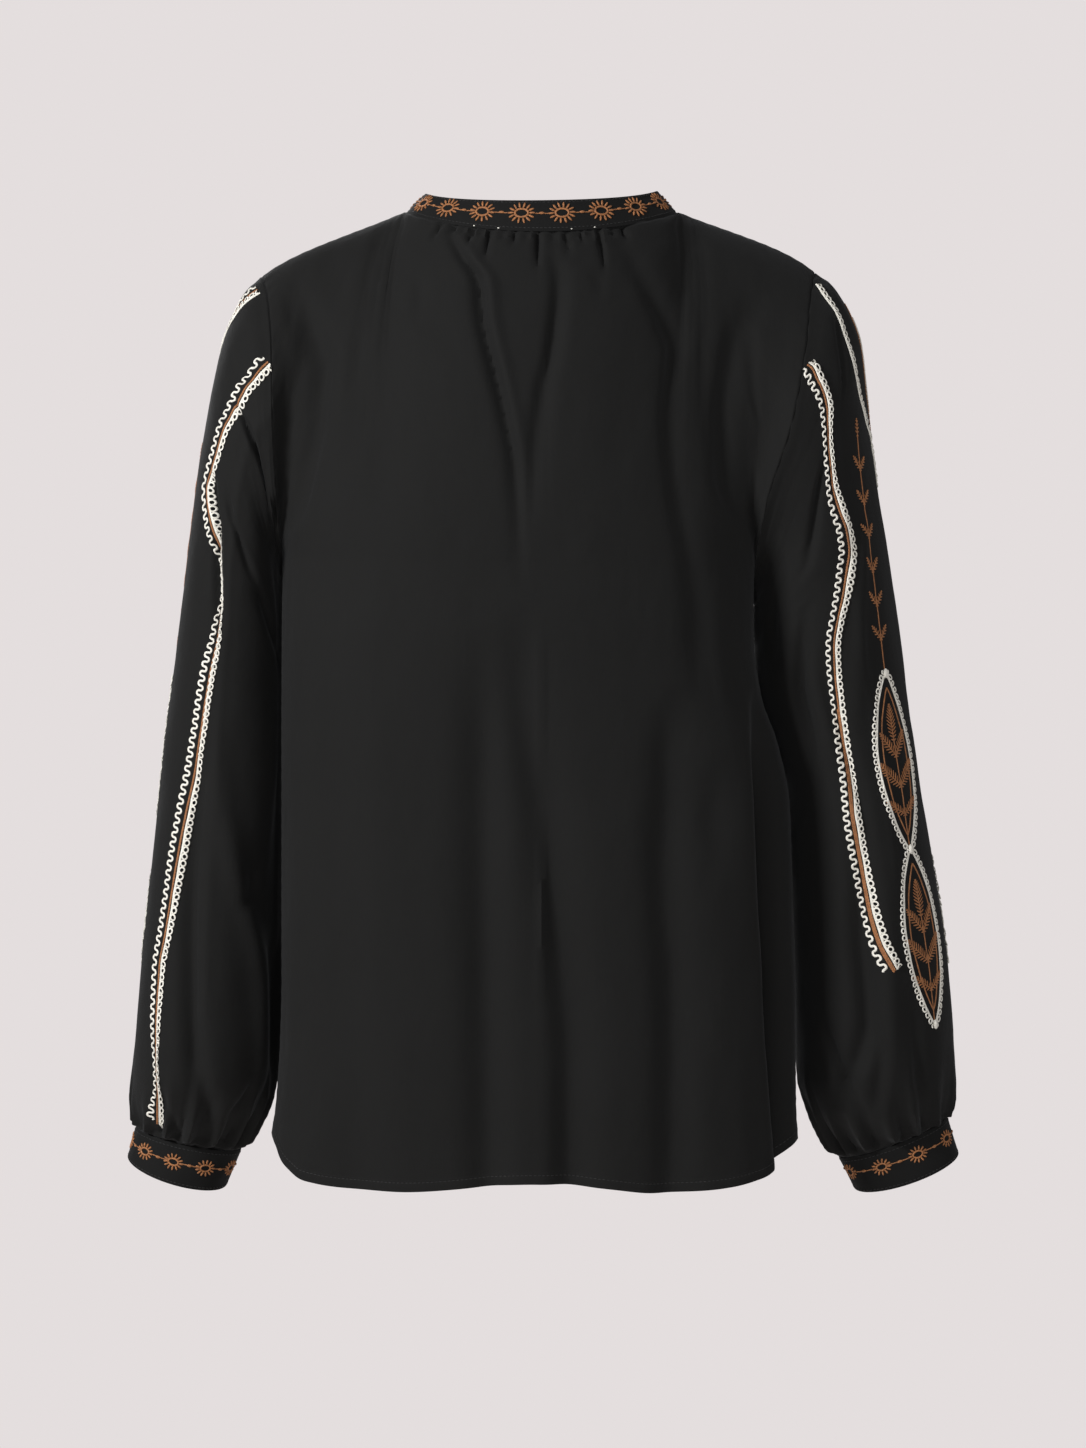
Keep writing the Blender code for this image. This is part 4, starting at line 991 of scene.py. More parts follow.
class Route:
    """A line on a cloth, with flat coordinates beside it: s along, h across and n out."""

    def __init__(self, cloth, us, vs):
        self.cloth = cloth
        us, vs = np.asarray(us, float), np.asarray(vs, float)
        rough = cloth.form(us, vs)
        s = lengths(rough[None], 1)[0]
        fine = np.linspace(0, s[-1], int(s[-1] / ROUTE_STEP) + 2)
        u, v = smooth(s, us, fine), smooth(s, vs, fine)
        points = cloth.form(u, v)
        self.s = lengths(points[None], 1)[0]
        along_u, along_v = cloth.steps_at(u, v)
        way = unit(np.cross(along_u, along_v) * cloth.outward)
        forward = unit(np.gradient(points, axis=0))
        across = unit(np.cross(way, forward))
        uu = (along_u**2).sum(-1)
        vv = (along_v**2).sum(-1)
        uv = (along_u * along_v).sum(-1)
        au = (across * along_u).sum(-1)
        av = (across * along_v).sum(-1)
        det = uu * vv - uv**2
        self.u, self.v = u, v
        self.across_u = self.even((au * vv - av * uv) / det)
        self.across_v = self.even((av * uu - au * uv) / det)

    def even(self, values):
        """Values averaged along the line."""
        half = int(ROUTE_EVEN_REACH / ROUTE_STEP)
        padded = np.concatenate([np.full(half, values[0]), values, np.full(half, values[-1])])
        kernel = np.hanning(2 * half + 3)[1:-1]
        return np.convolve(padded, kernel / kernel.sum(), mode="valid")

    @property
    def length(self):
        return self.s[-1]

    def coordinates(self, s, h):
        """The cloth's own coordinates of flat ones."""
        u = np.interp(s, self.s, self.u) + h * np.interp(s, self.s, self.across_u)
        v = np.interp(s, self.s, self.v) + h * np.interp(s, self.s, self.across_v)
        return u, v

    def lay(self, flat):
        """Flat points laid on the cloth."""
        u, v = self.coordinates(flat[:, 0], flat[:, 1])
        return self.cloth.at(u, v) + flat[:, 2:3] * self.cloth.out(u, v)


class Socket:
    """A node's output with the sums that are written as plain expressions."""

    def __init__(self, graph, output):
        self.graph = graph
        self.output = output

    def math(self, operation, *others):
        node = self.graph.node("ShaderNodeMath", {"operation": operation}, dict(enumerate((self, *others))))
        return node["Value"]

    def __add__(self, other):
        return self.math("ADD", other)

    def __sub__(self, other):
        return self.math("SUBTRACT", other)

    def __mul__(self, other):
        return self.math("MULTIPLY", other)

    def __truediv__(self, other):
        return self.math("DIVIDE", other)

    def __rsub__(self, other):
        return self.graph.value(other).math("SUBTRACT", self)

    def __gt__(self, other):
        return self.math("GREATER_THAN", other)

    __radd__ = __add__
    __rmul__ = __mul__


class Made:
    """A node that was added, whose outputs are read by name."""

    def __init__(self, graph, node):
        self.graph = graph
        self.node = node

    def __getitem__(self, name):
        return Socket(self.graph, self.node.outputs[name])


class Graph:
    """A node tree under construction."""

    def __init__(self, tree):
        self.tree = tree

    def node(self, kind, settings=None, inputs=None):
        """Adds a node: its settings first, then values or links for its sockets."""
        node = self.tree.nodes.new(kind)
        for name, value in (settings or {}).items():
            if name == "stops":
                ramp = node.color_ramp.elements
                while len(ramp) < len(value):
                    ramp.new(0.5)
                for element, (place, colour) in zip(ramp, value):
                    element.position = place
                    element.color = colour
            else:
                setattr(node, name, value)
        for name, value in (inputs or {}).items():
            socket = node.inputs[name]
            if isinstance(value, Socket):
                self.tree.links.new(value.output, socket)
            else:
                socket.default_value = value
        return Made(self, node)

    def value(self, number):
        """A plain number as a socket."""
        return self.node("ShaderNodeMath", {"operation": "ADD"}, {0: float(number), 1: 0.0})["Value"]


def shape_tree(name, sizes):
    """A geometry tree with named sizes, and its graph and inputs."""
    tree = bpy.data.node_groups.new(name, "GeometryNodeTree")
    tree.interface.new_socket("Geometry", in_out="INPUT", socket_type="NodeSocketGeometry")
    for size, (kind, value) in sizes.items():
        socket = tree.interface.new_socket(size, in_out="INPUT", socket_type=kind)
        if value is not None:
            socket.default_value = value
    tree.interface.new_socket("Geometry", in_out="OUTPUT", socket_type="NodeSocketGeometry")
    graph = Graph(tree)
    return tree, graph, graph.node("NodeGroupInput")


def close_tree(graph, geometry, sizes):
    """Ends a tree: real copies with their material."""
    real = graph.node("GeometryNodeRealizeInstances", inputs={"Geometry": geometry})["Geometry"]
    done = graph.node(
        "GeometryNodeSetMaterial", inputs={"Geometry": real, "Material": sizes["Material"]}
    )["Geometry"]
    graph.node("NodeGroupOutput", inputs={"Geometry": done})


NUMBER = "NodeSocketFloat"
WHOLE = "NodeSocketInt"
THREAD_SIDES = 6


def cord_round(graph, curve, thread, sides=THREAD_SIDES):
    """A round cord along a curve."""
    profile = graph.node(
        "GeometryNodeCurvePrimitiveCircle", inputs={"Resolution": sides, "Radius": thread * 0.5}
    )["Curve"]
    return graph.node(
        "GeometryNodeCurveToMesh", inputs={"Curve": curve, "Profile Curve": profile, "Fill Caps": True}
    )["Mesh"]


def line_of_points(graph, length, count):
    """A flat line along x as a curve with a number of points."""
    end = graph.node("ShaderNodeCombineXYZ", inputs={"X": length})["Vector"]
    line = graph.node("GeometryNodeCurvePrimitiveLine", inputs={"End": end})["Curve"]
    return graph.node("GeometryNodeResampleCurve", inputs={"Curve": line, "Count": count})["Curve"]


def wave_tree():
    """A cord that swings from side to side: rounded zigzag, or one strand of a plait."""
    tree, graph, size = shape_tree("waving_cord", {
        "Length": (NUMBER, 100.0), "Period": (NUMBER, 6.6), "Swing": (NUMBER, 4.0),
        "Bulge": (NUMBER, 0.6), "Thread": (NUMBER, 1.5), "Steps": (WHOLE, 12),
        "Start": (NUMBER, 0.0), "Lift": (NUMBER, 0.0), "Material": ("NodeSocketMaterial", None),
    })
    line = line_of_points(graph, size["Length"], size["Length"] / size["Period"] * size["Steps"])
    place = graph.node("GeometryNodeInputPosition")["Position"]
    x = graph.node("ShaderNodeSeparateXYZ", inputs={"Vector": place})["X"]
    turn = x / size["Period"] * (2 * math.pi) + size["Start"]
    side = turn.math("SINE") * size["Swing"] * 0.5
    bulge = (turn * 2).math("SINE") * size["Bulge"] * -1
    lift = (turn * 2).math("COSINE") * size["Lift"]
    offset = graph.node("ShaderNodeCombineXYZ", inputs={"X": bulge, "Y": side, "Z": lift})["Vector"]
    moved = graph.node("GeometryNodeSetPosition", inputs={"Geometry": line, "Offset": offset})["Geometry"]
    close_tree(graph, cord_round(graph, moved, size["Thread"]), size)
    return tree


def loops_tree():
    """A row of small thread rings, tipped to alternate sides."""
    tree, graph, size = shape_tree("row_of_loops", {
        "Length": (NUMBER, 100.0), "Period": (NUMBER, 4.6), "Loop": (NUMBER, 1.7),
        "Thread": (NUMBER, 1.1), "Tip": (NUMBER, 0.35), "Seed": (WHOLE, 3),
        "Material": ("NodeSocketMaterial", None),
    })
    line = line_of_points(graph, size["Length"], size["Length"] / size["Period"])
    circle = graph.node(
        "GeometryNodeCurvePrimitiveCircle", inputs={"Resolution": 12, "Radius": size["Loop"]}
    )["Curve"]
    ring_mesh = cord_round(graph, circle, size["Thread"], 5)
    tilt = graph.node(
        "FunctionNodeRandomValue", {"data_type": "FLOAT"},
        {2: size["Tip"] * -1, 3: size["Tip"], "Seed": size["Seed"]},
    )
    tilt = Socket(graph, tilt.node.outputs[1])
    turn = graph.node("ShaderNodeCombineXYZ", inputs={"Y": tilt, "Z": tilt})["Vector"]
    rings = graph.node("GeometryNodeInstanceOnPoints", inputs={
        "Points": line, "Instance": ring_mesh, "Rotation": turn, "Scale": (1.15, 0.95, 1.0),
    })["Instances"]
    close_tree(graph, rings, size)
    return tree


def joined(graph, parts):
    """Several parts as one."""
    both = graph.node("GeometryNodeJoinGeometry")
    for part in parts:
        graph.tree.links.new(part.output, both.node.inputs["Geometry"])
    return both["Geometry"]


def stitch(graph, length, width, height):
    """One satin stitch: a long bead."""
    ball = graph.node("GeometryNodeMeshUVSphere", inputs={
        "Segments": 6, "Rings": 5, "Radius": 0.5,
    })["Mesh"]
    scale = graph.node("ShaderNodeCombineXYZ", inputs={"X": length, "Y": width, "Z": height})["Vector"]
    lying = graph.node("GeometryNodeTransform", inputs={
        "Geometry": ball, "Rotation": (0, math.pi / 2, 0),
    })["Geometry"]
    return graph.node("GeometryNodeTransform", inputs={"Geometry": lying, "Scale": scale})["Geometry"]


def stitches_tree():
    """A row of running stitches."""
    tree, graph, size = shape_tree("running_stitches", {
        "Length": (NUMBER, 100.0), "Period": (NUMBER, 3.0), "Stitch": (NUMBER, 2.3),
        "Thread": (NUMBER, 0.45), "Material": ("NodeSocketMaterial", None),
    })
    line = line_of_points(graph, size["Length"], size["Length"] / size["Period"])
    one = stitch(graph, size["Stitch"], size["Thread"], size["Thread"])
    row = graph.node("GeometryNodeInstanceOnPoints", inputs={"Points": line, "Instance": one})["Instances"]
    close_tree(graph, row, size)
    return tree


def sun_tree():
    """An oval eyelet ring with satin rays, as sewn on the bands."""
    tree, graph, size = shape_tree("eyelet_with_rays", {
        "Rays": (WHOLE, 15), "Width": (NUMBER, 9.4), "Height": (NUMBER, 5.4),
        "Ray": (NUMBER, 3.2), "Thread": (NUMBER, 1.15), "Seed": (WHOLE, 5),
        "Material": ("NodeSocketMaterial", None),
    })
    flat = graph.node("ShaderNodeCombineXYZ", inputs={
        "X": size["Width"] * 0.5, "Y": size["Height"] * 0.5, "Z": 1.0,
    })["Vector"]
    unit_circle = graph.node("GeometryNodeCurvePrimitiveCircle", inputs={
        "Resolution": 24, "Radius": 1.0,
    })["Curve"]
    oval = graph.node("GeometryNodeTransform", inputs={"Geometry": unit_circle, "Scale": flat})["Geometry"]
    eyelet = cord_round(graph, oval, size["Thread"] * 0.85)
    spots = graph.node("GeometryNodeCurvePrimitiveCircle", inputs={
        "Resolution": size["Rays"], "Radius": 1.0,
    })["Curve"]
    spots = graph.node("GeometryNodeCurveToPoints", {"mode": "EVALUATED"}, {"Curve": spots})["Points"]
    place = graph.node("GeometryNodeInputPosition")["Position"]
    split = graph.node("ShaderNodeSeparateXYZ", inputs={"Vector": place})
    reach_x = size["Width"] * 0.5 + size["Ray"] * 0.62
    reach_y = size["Height"] * 0.5 + size["Ray"] * 0.62
    moved = graph.node("ShaderNodeCombineXYZ", inputs={
        "X": split["X"] * reach_x, "Y": split["Y"] * reach_y,
    })["Vector"]
    spots = graph.node("GeometryNodeSetPosition", inputs={"Geometry": spots, "Position": moved})["Geometry"]
    one = stitch(graph, size["Ray"], size["Thread"], size["Thread"])
    again = graph.node("ShaderNodeSeparateXYZ", inputs={"Vector": place})
    lean = graph.node("FunctionNodeRandomValue", {"data_type": "FLOAT"}, {
        2: -0.12, 3: 0.12, "Seed": size["Seed"],
    })
    lean = Socket(graph, lean.node.outputs[1])
    turn = (again["Y"] * 1.25).math("ARCTAN2", again["X"]) + lean
    spin = graph.node("ShaderNodeCombineXYZ", inputs={"Z": turn})["Vector"]
    rays = graph.node("GeometryNodeInstanceOnPoints", inputs={
        "Points": spots, "Instance": one, "Rotation": spin,
    })["Instances"]
    close_tree(graph, joined(graph, (rays, eyelet)), size)
    return tree


def bead_tree():
    """One long satin bead."""
    tree, graph, size = shape_tree("satin_bead", {
        "Length": (NUMBER, 4.4), "Width": (NUMBER, 2.2), "Material": ("NodeSocketMaterial", None),
    })
    close_tree(graph, stitch(graph, size["Length"], size["Width"], size["Width"] * 0.8), size)
    return tree


def feather_tree():
    """A feathered leaf: a spine with satin stitches on both sides, longest at its middle."""
    tree, graph, size = shape_tree("feathered_leaf", {
        "Stitches": (WHOLE, 11), "Length": (NUMBER, 20.0), "Width": (NUMBER, 11.0),
        "Thread": (NUMBER, 1.0), "Sweep": (NUMBER, 0.95), "Material": ("NodeSocketMaterial", None),
    })
    spine = line_of_points(graph, size["Length"], 9)
    spine_mesh = cord_round(graph, spine, size["Thread"] * 0.8)
    parts = [spine_mesh]
    for side in (1, -1):
        line = line_of_points(graph, size["Length"], size["Stitches"])
        points = graph.node("GeometryNodeCurveToPoints", {"mode": "EVALUATED"}, {"Curve": line})["Points"]
        place = graph.node("GeometryNodeInputPosition")["Position"]
        x = graph.node("ShaderNodeSeparateXYZ", inputs={"Vector": place})["X"]
        share = x / size["Length"]
        swell = ((share * 0.86 + 0.1) * math.pi).math("SINE").math("POWER", 0.7)
        reach = swell * size["Width"] * 0.5
        angle = size["Sweep"] * side + (share * -0.5 + 0.25) * side
        half = reach * 0.5
        aside = graph.node("ShaderNodeCombineXYZ", inputs={
            "X": angle.math("COSINE") * half, "Y": angle.math("SINE") * half,
        })["Vector"]
        points = graph.node("GeometryNodeSetPosition", inputs={
            "Geometry": points, "Offset": aside,
        })["Geometry"]
        one = stitch(graph, graph.value(1.0), size["Thread"], size["Thread"])
        spin = graph.node("ShaderNodeCombineXYZ", inputs={"Z": angle})["Vector"]
        longer = graph.node("ShaderNodeCombineXYZ", inputs={
            "X": reach + 0.6, "Y": 1.0, "Z": 1.0,
        })["Vector"]
        parts.append(graph.node("GeometryNodeInstanceOnPoints", inputs={
            "Points": points, "Instance": one, "Rotation": spin, "Scale": longer,
        })["Instances"])
    close_tree(graph, joined(graph, parts), size)
    return tree


def grown(tree, **sizes):
    """The flat points and faces that a tree makes with the given sizes."""
    mesh = bpy.data.meshes.new("seed")
    holder = bpy.data.objects.new("seed", mesh)
    bpy.context.scene.collection.objects.link(holder)
    modifier = holder.modifiers.new("shape", "NODES")
    modifier.node_group = tree
    for item in tree.interface.items_tree:
        if item.in_out == "INPUT" and item.name in sizes:
            modifier[item.identifier] = sizes[item.name]
    graph = bpy.context.evaluated_depsgraph_get()
    made = bpy.data.meshes.new_from_object(holder.evaluated_get(graph))
    points = np.zeros(len(made.vertices) * 3)
    made.vertices.foreach_get("co", points)
    faces = [tuple(face.vertices) for face in made.polygons]
    holder.modifiers.remove(modifier)
    bpy.data.objects.remove(holder)
    bpy.data.meshes.remove(made)
    bpy.data.meshes.remove(mesh)
    return points.reshape(-1, 3), faces


def turned(flat, angle=0.0, move=(0.0, 0.0), lift=0.0):
    """Flat points turned and moved in the cloth's plane, and lifted off it."""
    c, s = math.cos(angle), math.sin(angle)
    x = flat[:, 0] * c - flat[:, 1] * s + move[0]
    y = flat[:, 0] * s + flat[:, 1] * c + move[1]
    return np.stack([x, y, flat[:, 2] + lift], 1)


def bent(flat, path):
    """Flat points along x bent along a flat path of (s, h) points."""
    path = np.asarray(path, float)
    run = lengths(path[None], 1)[0]
    forward = unit(np.gradient(path, axis=0))
    x = flat[:, 0]
    s = np.interp(x, run, path[:, 0]) - flat[:, 1] * np.interp(x, run, forward[:, 1])
    h = np.interp(x, run, path[:, 1]) + flat[:, 1] * np.interp(x, run, forward[:, 0])
    return np.stack([s, h, flat[:, 2]], 1)


def path_length(path):
    """The length of a flat path."""
    return lengths(np.asarray(path, float)[None], 1)[0][-1]


def sewn(name, parts, material, flatten=0.7, sink=0.25):
    """Flat parts, each laid by its route, as one object."""
    points, faces = [], []
    count = 0
    for route, flat, made_faces in parts:
        flat = flat * np.array((1, 1, flatten))
        low = flat[:, 2].min()
        flat[:, 2] += -low - sink
        points.append(route.lay(flat))
        faces += [tuple(count + k for k in face) for face in made_faces]
        count += len(flat)
    mesh = bpy.data.meshes.new(name)
    mesh.from_pydata((np.concatenate(points) * MM).tolist(), [], faces)
    mesh.update()
    uv = mesh.uv_layers.new(name="UVMap")
    flat_uv = np.concatenate([part[1][:, :2] for part in parts]) * MM
    index = np.zeros(len(mesh.loops), np.int32)
    mesh.loops.foreach_get("vertex_index", index)
    uv.data.foreach_set("uv", flat_uv[index].astype(np.float32).ravel())
    return finished(name, mesh, material, 70)


def cotton(name, colour, pitch, crease):
    """Black plain-woven cotton: weave, slubs, worn light patches and small creases."""
    material = bpy.data.materials.new(name)
    material.use_nodes = True
    graph = Graph(material.node_tree)
    shader = material.node_tree.nodes["Principled BSDF"]
    place = graph.node("ShaderNodeTexCoord")["UV"]
    split = graph.node("ShaderNodeSeparateXYZ", inputs={"Vector": place})
    turn = math.pi / (pitch * MM)
    warp = (split["X"] * turn).math("SINE")
    weft = (split["Y"] * turn).math("SINE")
    over = (warp * weft) > 0.0
    threads = warp.math("ABSOLUTE") * over + weft.math("ABSOLUTE") * (1 - over)

    def noise(scale, across, detail, roughness=0.5):
        stretched = graph.node("ShaderNodeMapping", inputs={"Vector": place, "Scale": across})["Vector"]
        return graph.node("ShaderNodeTexNoise", inputs={
            "Vector": stretched, "Scale": scale, "Detail": detail, "Roughness": roughness,
        })["Fac"]

    slub = noise(1.0, (1400, 60, 1), 2) + noise(1.0, (60, 1400, 1), 2) - 1.0
    cloudy = noise(14.0, (1, 1, 1), 4)
    lint = noise(900.0, (1, 1, 1), 2)
    lint = (lint - 0.68) * 12
    lint = lint.math("MAXIMUM", 0.0).math("MINIMUM", 1.0)
    tone = slub * 0.5 + (cloudy - 0.5) * 0.5 + threads * 0.3 + lint * 0.5 + 0.35
    tone = tone.math("MAXIMUM", 0.0).math("MINIMUM", 1.0)
    dark = tuple(0.72 * c for c in colour) + (1,)
    light = tuple(1.45 * c for c in colour) + (1,)
    base = graph.node("ShaderNodeMix", {"data_type": "RGBA"}, {0: tone, 6: dark, 7: light})
    graph.tree.links.new(base.node.outputs[2], shader.inputs["Base Color"])
    rough = 0.78 + slub * 0.12 + (cloudy - 0.5) * 0.15
    graph.tree.links.new(rough.output, shader.inputs["Roughness"])
    creases = noise(26.0, (1, 0.6, 1), 5, 0.55)
    height = threads * 0.35 + slub * 0.5
    fine = graph.node("ShaderNodeBump", inputs={
        "Strength": 0.35, "Distance": 0.00025, "Height": height,
    })["Normal"]
    both = graph.node("ShaderNodeBump", inputs={
        "Strength": crease, "Distance": 0.004, "Height": creases, "Normal": fine,
    })["Normal"]
    graph.tree.links.new(both.output, shader.inputs["Normal"])
    shader.inputs["Sheen Weight"].default_value = 0.06
    shader.inputs["Sheen Roughness"].default_value = 0.45
    shader.inputs["Sheen Tint"].default_value = (0.75, 0.78, 0.82, 1)
    shader.inputs["Specular IOR Level"].default_value = 0.12
    return material


def thread(name, dark, light, twist, sheen):
    """Spun thread: plies that show as slanting ribs, uneven in tone."""
    material = bpy.data.materials.new(name)
    material.use_nodes = True
    graph = Graph(material.node_tree)
    shader = material.node_tree.nodes["Principled BSDF"]
    place = graph.node("ShaderNodeTexCoord")["UV"]
    split = graph.node("ShaderNodeSeparateXYZ", inputs={"Vector": place})
    ribs = ((split["X"] + split["Y"] * 0.8) * (2 * math.pi / (twist * MM))).math("SINE") * 0.5 + 0.5
    cloud = graph.node("ShaderNodeTexNoise", inputs={"Vector": place, "Scale": 320.0, "Detail": 3.0})["Fac"]
    tone = ribs * 0.45 + cloud * 0.9 - 0.15
    tone = tone.math("MAXIMUM", 0.0).math("MINIMUM", 1.0)
    base = graph.node("ShaderNodeMix", {"data_type": "RGBA"}, {0: tone, 6: dark + (1,), 7: light + (1,)})
    graph.tree.links.new(base.node.outputs[2], shader.inputs["Base Color"])
    rough = 0.62 - ribs * 0.12
    graph.tree.links.new(rough.output, shader.inputs["Roughness"])
    bump = graph.node("ShaderNodeBump", inputs={
        "Strength": 0.6, "Distance": 0.0003, "Height": ribs * 0.7 + cloud * 0.3,
    })["Normal"]
    graph.tree.links.new(bump.output, shader.inputs["Normal"])
    shader.inputs["Sheen Weight"].default_value = sheen
    shader.inputs["Sheen Roughness"].default_value = 0.4
    return material


def cord_on(route, tree, start, end, h, **sizes):
    """A cord made by a tree, laid beside a route from one length to another."""
    points, faces = grown(tree, Length=float(end - start), **sizes)
    return route, turned(points, move=(start, h)), faces


def strand(route, tree, places, ends, pinch, lift=0.0, **sizes):
    """A cord beside a route: how far beside it by length, drawn in where the band pinches."""
    start, end = ends
    s = np.arange(start, end, 1.5)
    h = smooth(np.array([row[0] for row in places]) * end, [row[1] for row in places], s)
    at = [place if place >= 0 else route.length + place for place, _ in pinch]
    shares = [share for _, share in pinch]
    path = np.stack([s, h * np.interp(s, at, shares)], 1)
    points, faces = grown(tree, Length=float(path_length(path)), **sizes)
    narrow = np.interp(points[:, 0] + start, at, shares)
    points[:, 1] *= np.clip(narrow * 1.15, 0.45, 1)
    return route, bent(turned(points, lift=lift), path), faces


def band_parts(route, trees, places, swing, thick_from=1e9, pinch=((0, 1),)):
    """A band's white and brown parts: zigzag, brown cord, white cord with its loops."""
    start, end = 1.5, route.length - 2
    wave, loops, white, brown = (trees[name] for name in ("wave", "loops", "white", "brown"))
    whites = [
        strand(route, wave, places["zigzag"], (start, end - 3), pinch, Period=6.7, Swing=swing, Bulge=0.5,
               Thread=1.6, Steps=12, Start=0.6, Lift=0.0, Material=white),
        strand(route, wave, places["line"], (start, end), pinch, Period=23.0, Swing=0.35, Bulge=0.0,
               Thread=1.6, Steps=18, Start=0.0, Lift=0.0, Material=white),
        strand(route, loops, places["loops"], (start + 1, end), pinch, Period=4.7, Loop=1.7, Thread=1.15,
               Tip=0.4, Seed=3, Material=white),
    ]
    browns = []
    for row, (place, first, thread) in enumerate((
        (places["brown"], start, 0.8), (places["second_brown"], thick_from, 0.75),
    )):
        for phase in (0.0, math.pi):
            if first < end:
                browns.append(strand(route, wave, place, (first, end), pinch, Period=4.0 - 0.5 * row,
                                     Swing=0.85, Bulge=0.12, Thread=thread, Steps=8, Start=phase, Lift=0.22,
                                     Material=brown))
    return whites, browns


def beside(zigzag, brown, line, loops, second=0.0):
    """Where a band's strands lie beside its line: one even distance each."""
    names = ("zigzag", "brown", "line", "loops", "second_brown")
    rows = (zigzag, brown, line, loops, second)
    return {name: ((0, h), (1, h)) for name, h in zip(names, rows)}


def sun_row(route, trees, centres, middle, closed=False, **sizes):
    """A row of eyelet suns joined by a line with a bead half way."""
    parts = []
    brown = trees["brown"]
    reach = sizes["Width"] / 2 + 0.4
    for number, s in enumerate(centres[:-1] if closed else centres):
        points, faces = grown(trees["sun"], Seed=5 + number, Material=brown, **sizes)
        lean = 0.07 * math.sin(2.3 * number + 1)
        parts.append((route, turned(points, angle=lean, move=(s, middle)), faces))
    for a, b in zip(centres, centres[1:]):
        parts.append(cord_on(route, trees["wave"], a + reach, b - reach, middle, Period=b - a, Swing=0.3,
                             Bulge=0.0, Thread=0.75, Steps=16, Start=0.0, Lift=0.0, Material=brown))
        points, faces = grown(trees["bead"], Length=3.8, Width=2.1, Material=brown)
        parts.append((route, turned(points, move=((a + b) / 2, middle)), faces))
    return parts


# A general design on the outer sleeves, worked out from these sizes: pointed ovals of
# white chain, each round a spray of leaves, under a straight stem with leaves in pairs.
OVALS = 2
OVALS_FROM = 0.42
OVALS_TO = 0.97
OVAL_HALF_WIDTH = 17.5
OVAL_SHAPE = 0.8
OVAL_LINE_INSIDE = 5.0
STEM_FROM = 0.05
STEM_PAIRS = 6
STEM_LEAF = (12.0, 36.0)
LEAF_WIDTH = 0.46

# Leaves of a spray: place and length as shares of the oval's length, and lean in degrees.
SPRAY = ((0.2, 0.15, 55), (0.36, 0.2, 45), (0.53, 0.17, 36))
SPRAY_TOP = (0.62, 0.2)

# The design's middle line on each sleeve: share along and degrees round.
DESIGN_MIDDLE = {
    "right": ((0.2, 40), (0.42, 47), (0.6, 51), (0.8, 44)),
    "left": ((0.25, -3), (0.4, -3), (0.48, -5), (0.6, -15), (0.78, -22)),
}


def cord_along(route, trees, path, thread, colour, shift=0.0):
    """A round cord along a flat path."""
    points, faces = grown(trees["wave"], Length=float(path_length(path)), Period=31.0, Swing=0.2, Bulge=0.0,
                          Thread=thread, Steps=24, Start=0.0, Lift=0.0, Material=trees[colour])
    return route, bent(turned(points, move=(0, shift)), path), faces


def chain_along(route, trees, path, side):
    """A white cord with a row of loops beside it."""
    parts = [cord_along(route, trees, path, 1.5, "white")]
    points, faces = grown(trees["loops"], Length=float(path_length(path)), Period=4.5, Loop=1.5,
                          Thread=1.05, Tip=0.3, Seed=9, Material=trees["white"])
    parts.append((route, bent(turned(points, move=(0, 2.2 * side)), path), faces))
    return parts


def ovals(route):
    """The top and the foot of each pointed oval."""
    ends = np.linspace(OVALS_FROM, OVALS_TO, OVALS + 1) * route.length
    return list(zip(ends, ends[1:]))


def oval_side(top, foot, side, half_width):
    """One side of a pointed oval as a flat path."""
    share = np.linspace(0, 1, 48)
    bow = side * half_width * np.abs(np.sin(math.pi * share)) ** OVAL_SHAPE
    return np.stack([top + (foot - top) * share, bow], 1)


def leaf(route, trees, foot, length, lean):
    """A feathered leaf from a foot on the stem, leaning from straight up by some degrees."""
    points, faces = grown(trees["feather"], Stitches=max(5, int(length / 2)), Length=float(length),
                          Width=float(LEAF_WIDTH * length), Thread=1.15, Sweep=0.9,
                          Material=trees["brown"])
    return route, turned(points, math.pi - math.radians(lean), (foot, 0.0)), faces


def sprig_parts(route, trees):
    """A stem with leaves in pairs, and a spray of leaves in each oval."""
    first, last = STEM_FROM * route.length, OVALS_FROM * route.length
    stems = [(first, last)]
    length, lean = STEM_LEAF
    parts = [leaf(route, trees, first, length, 0)]
    for foot in np.linspace(first, last, STEM_PAIRS + 2)[1:-1]:
        parts += [leaf(route, trees, foot, length, side * lean) for side in (1, -1)]
    for top, foot in ovals(route):
        tall = foot - top
        stems.append((foot - SPRAY_TOP[0] * tall, foot - 3))
        for place, share, lean in SPRAY:
            at = foot - place * tall
            parts += [leaf(route, trees, at, share * tall, side * lean) for side in (1, -1)]
        parts.append(leaf(route, trees, stems[-1][0], SPRAY_TOP[1] * tall, 0))
    for ends in stems:
        path = np.stack([np.linspace(*ends, 40), np.zeros(40)], 1)
        parts.append(cord_along(route, trees, path, 1.0, "brown"))
    return parts


def frame_parts(route, trees):
    """Pointed ovals of white chain with a knot at each point, and a brown line inside."""
    whites, browns = [], []
    for top, foot in ovals(route):
        inset = 2 * OVAL_LINE_INSIDE
        for side in (1, -1):
            whites += chain_along(route, trees, oval_side(top, foot, side, OVAL_HALF_WIDTH), side)
            inner = oval_side(top + inset, foot - inset, side, OVAL_HALF_WIDTH - OVAL_LINE_INSIDE)
            browns.append(cord_along(route, trees, inner, 1.2, "brown"))
    for point in sorted({end for ends in ovals(route) for end in ends}):
        points, faces = grown(trees["bead"], Length=7.0, Width=4.6, Material=trees["white"])
        whites.append((route, turned(points, move=(point, 0.0)), faces))
    return whites, browns


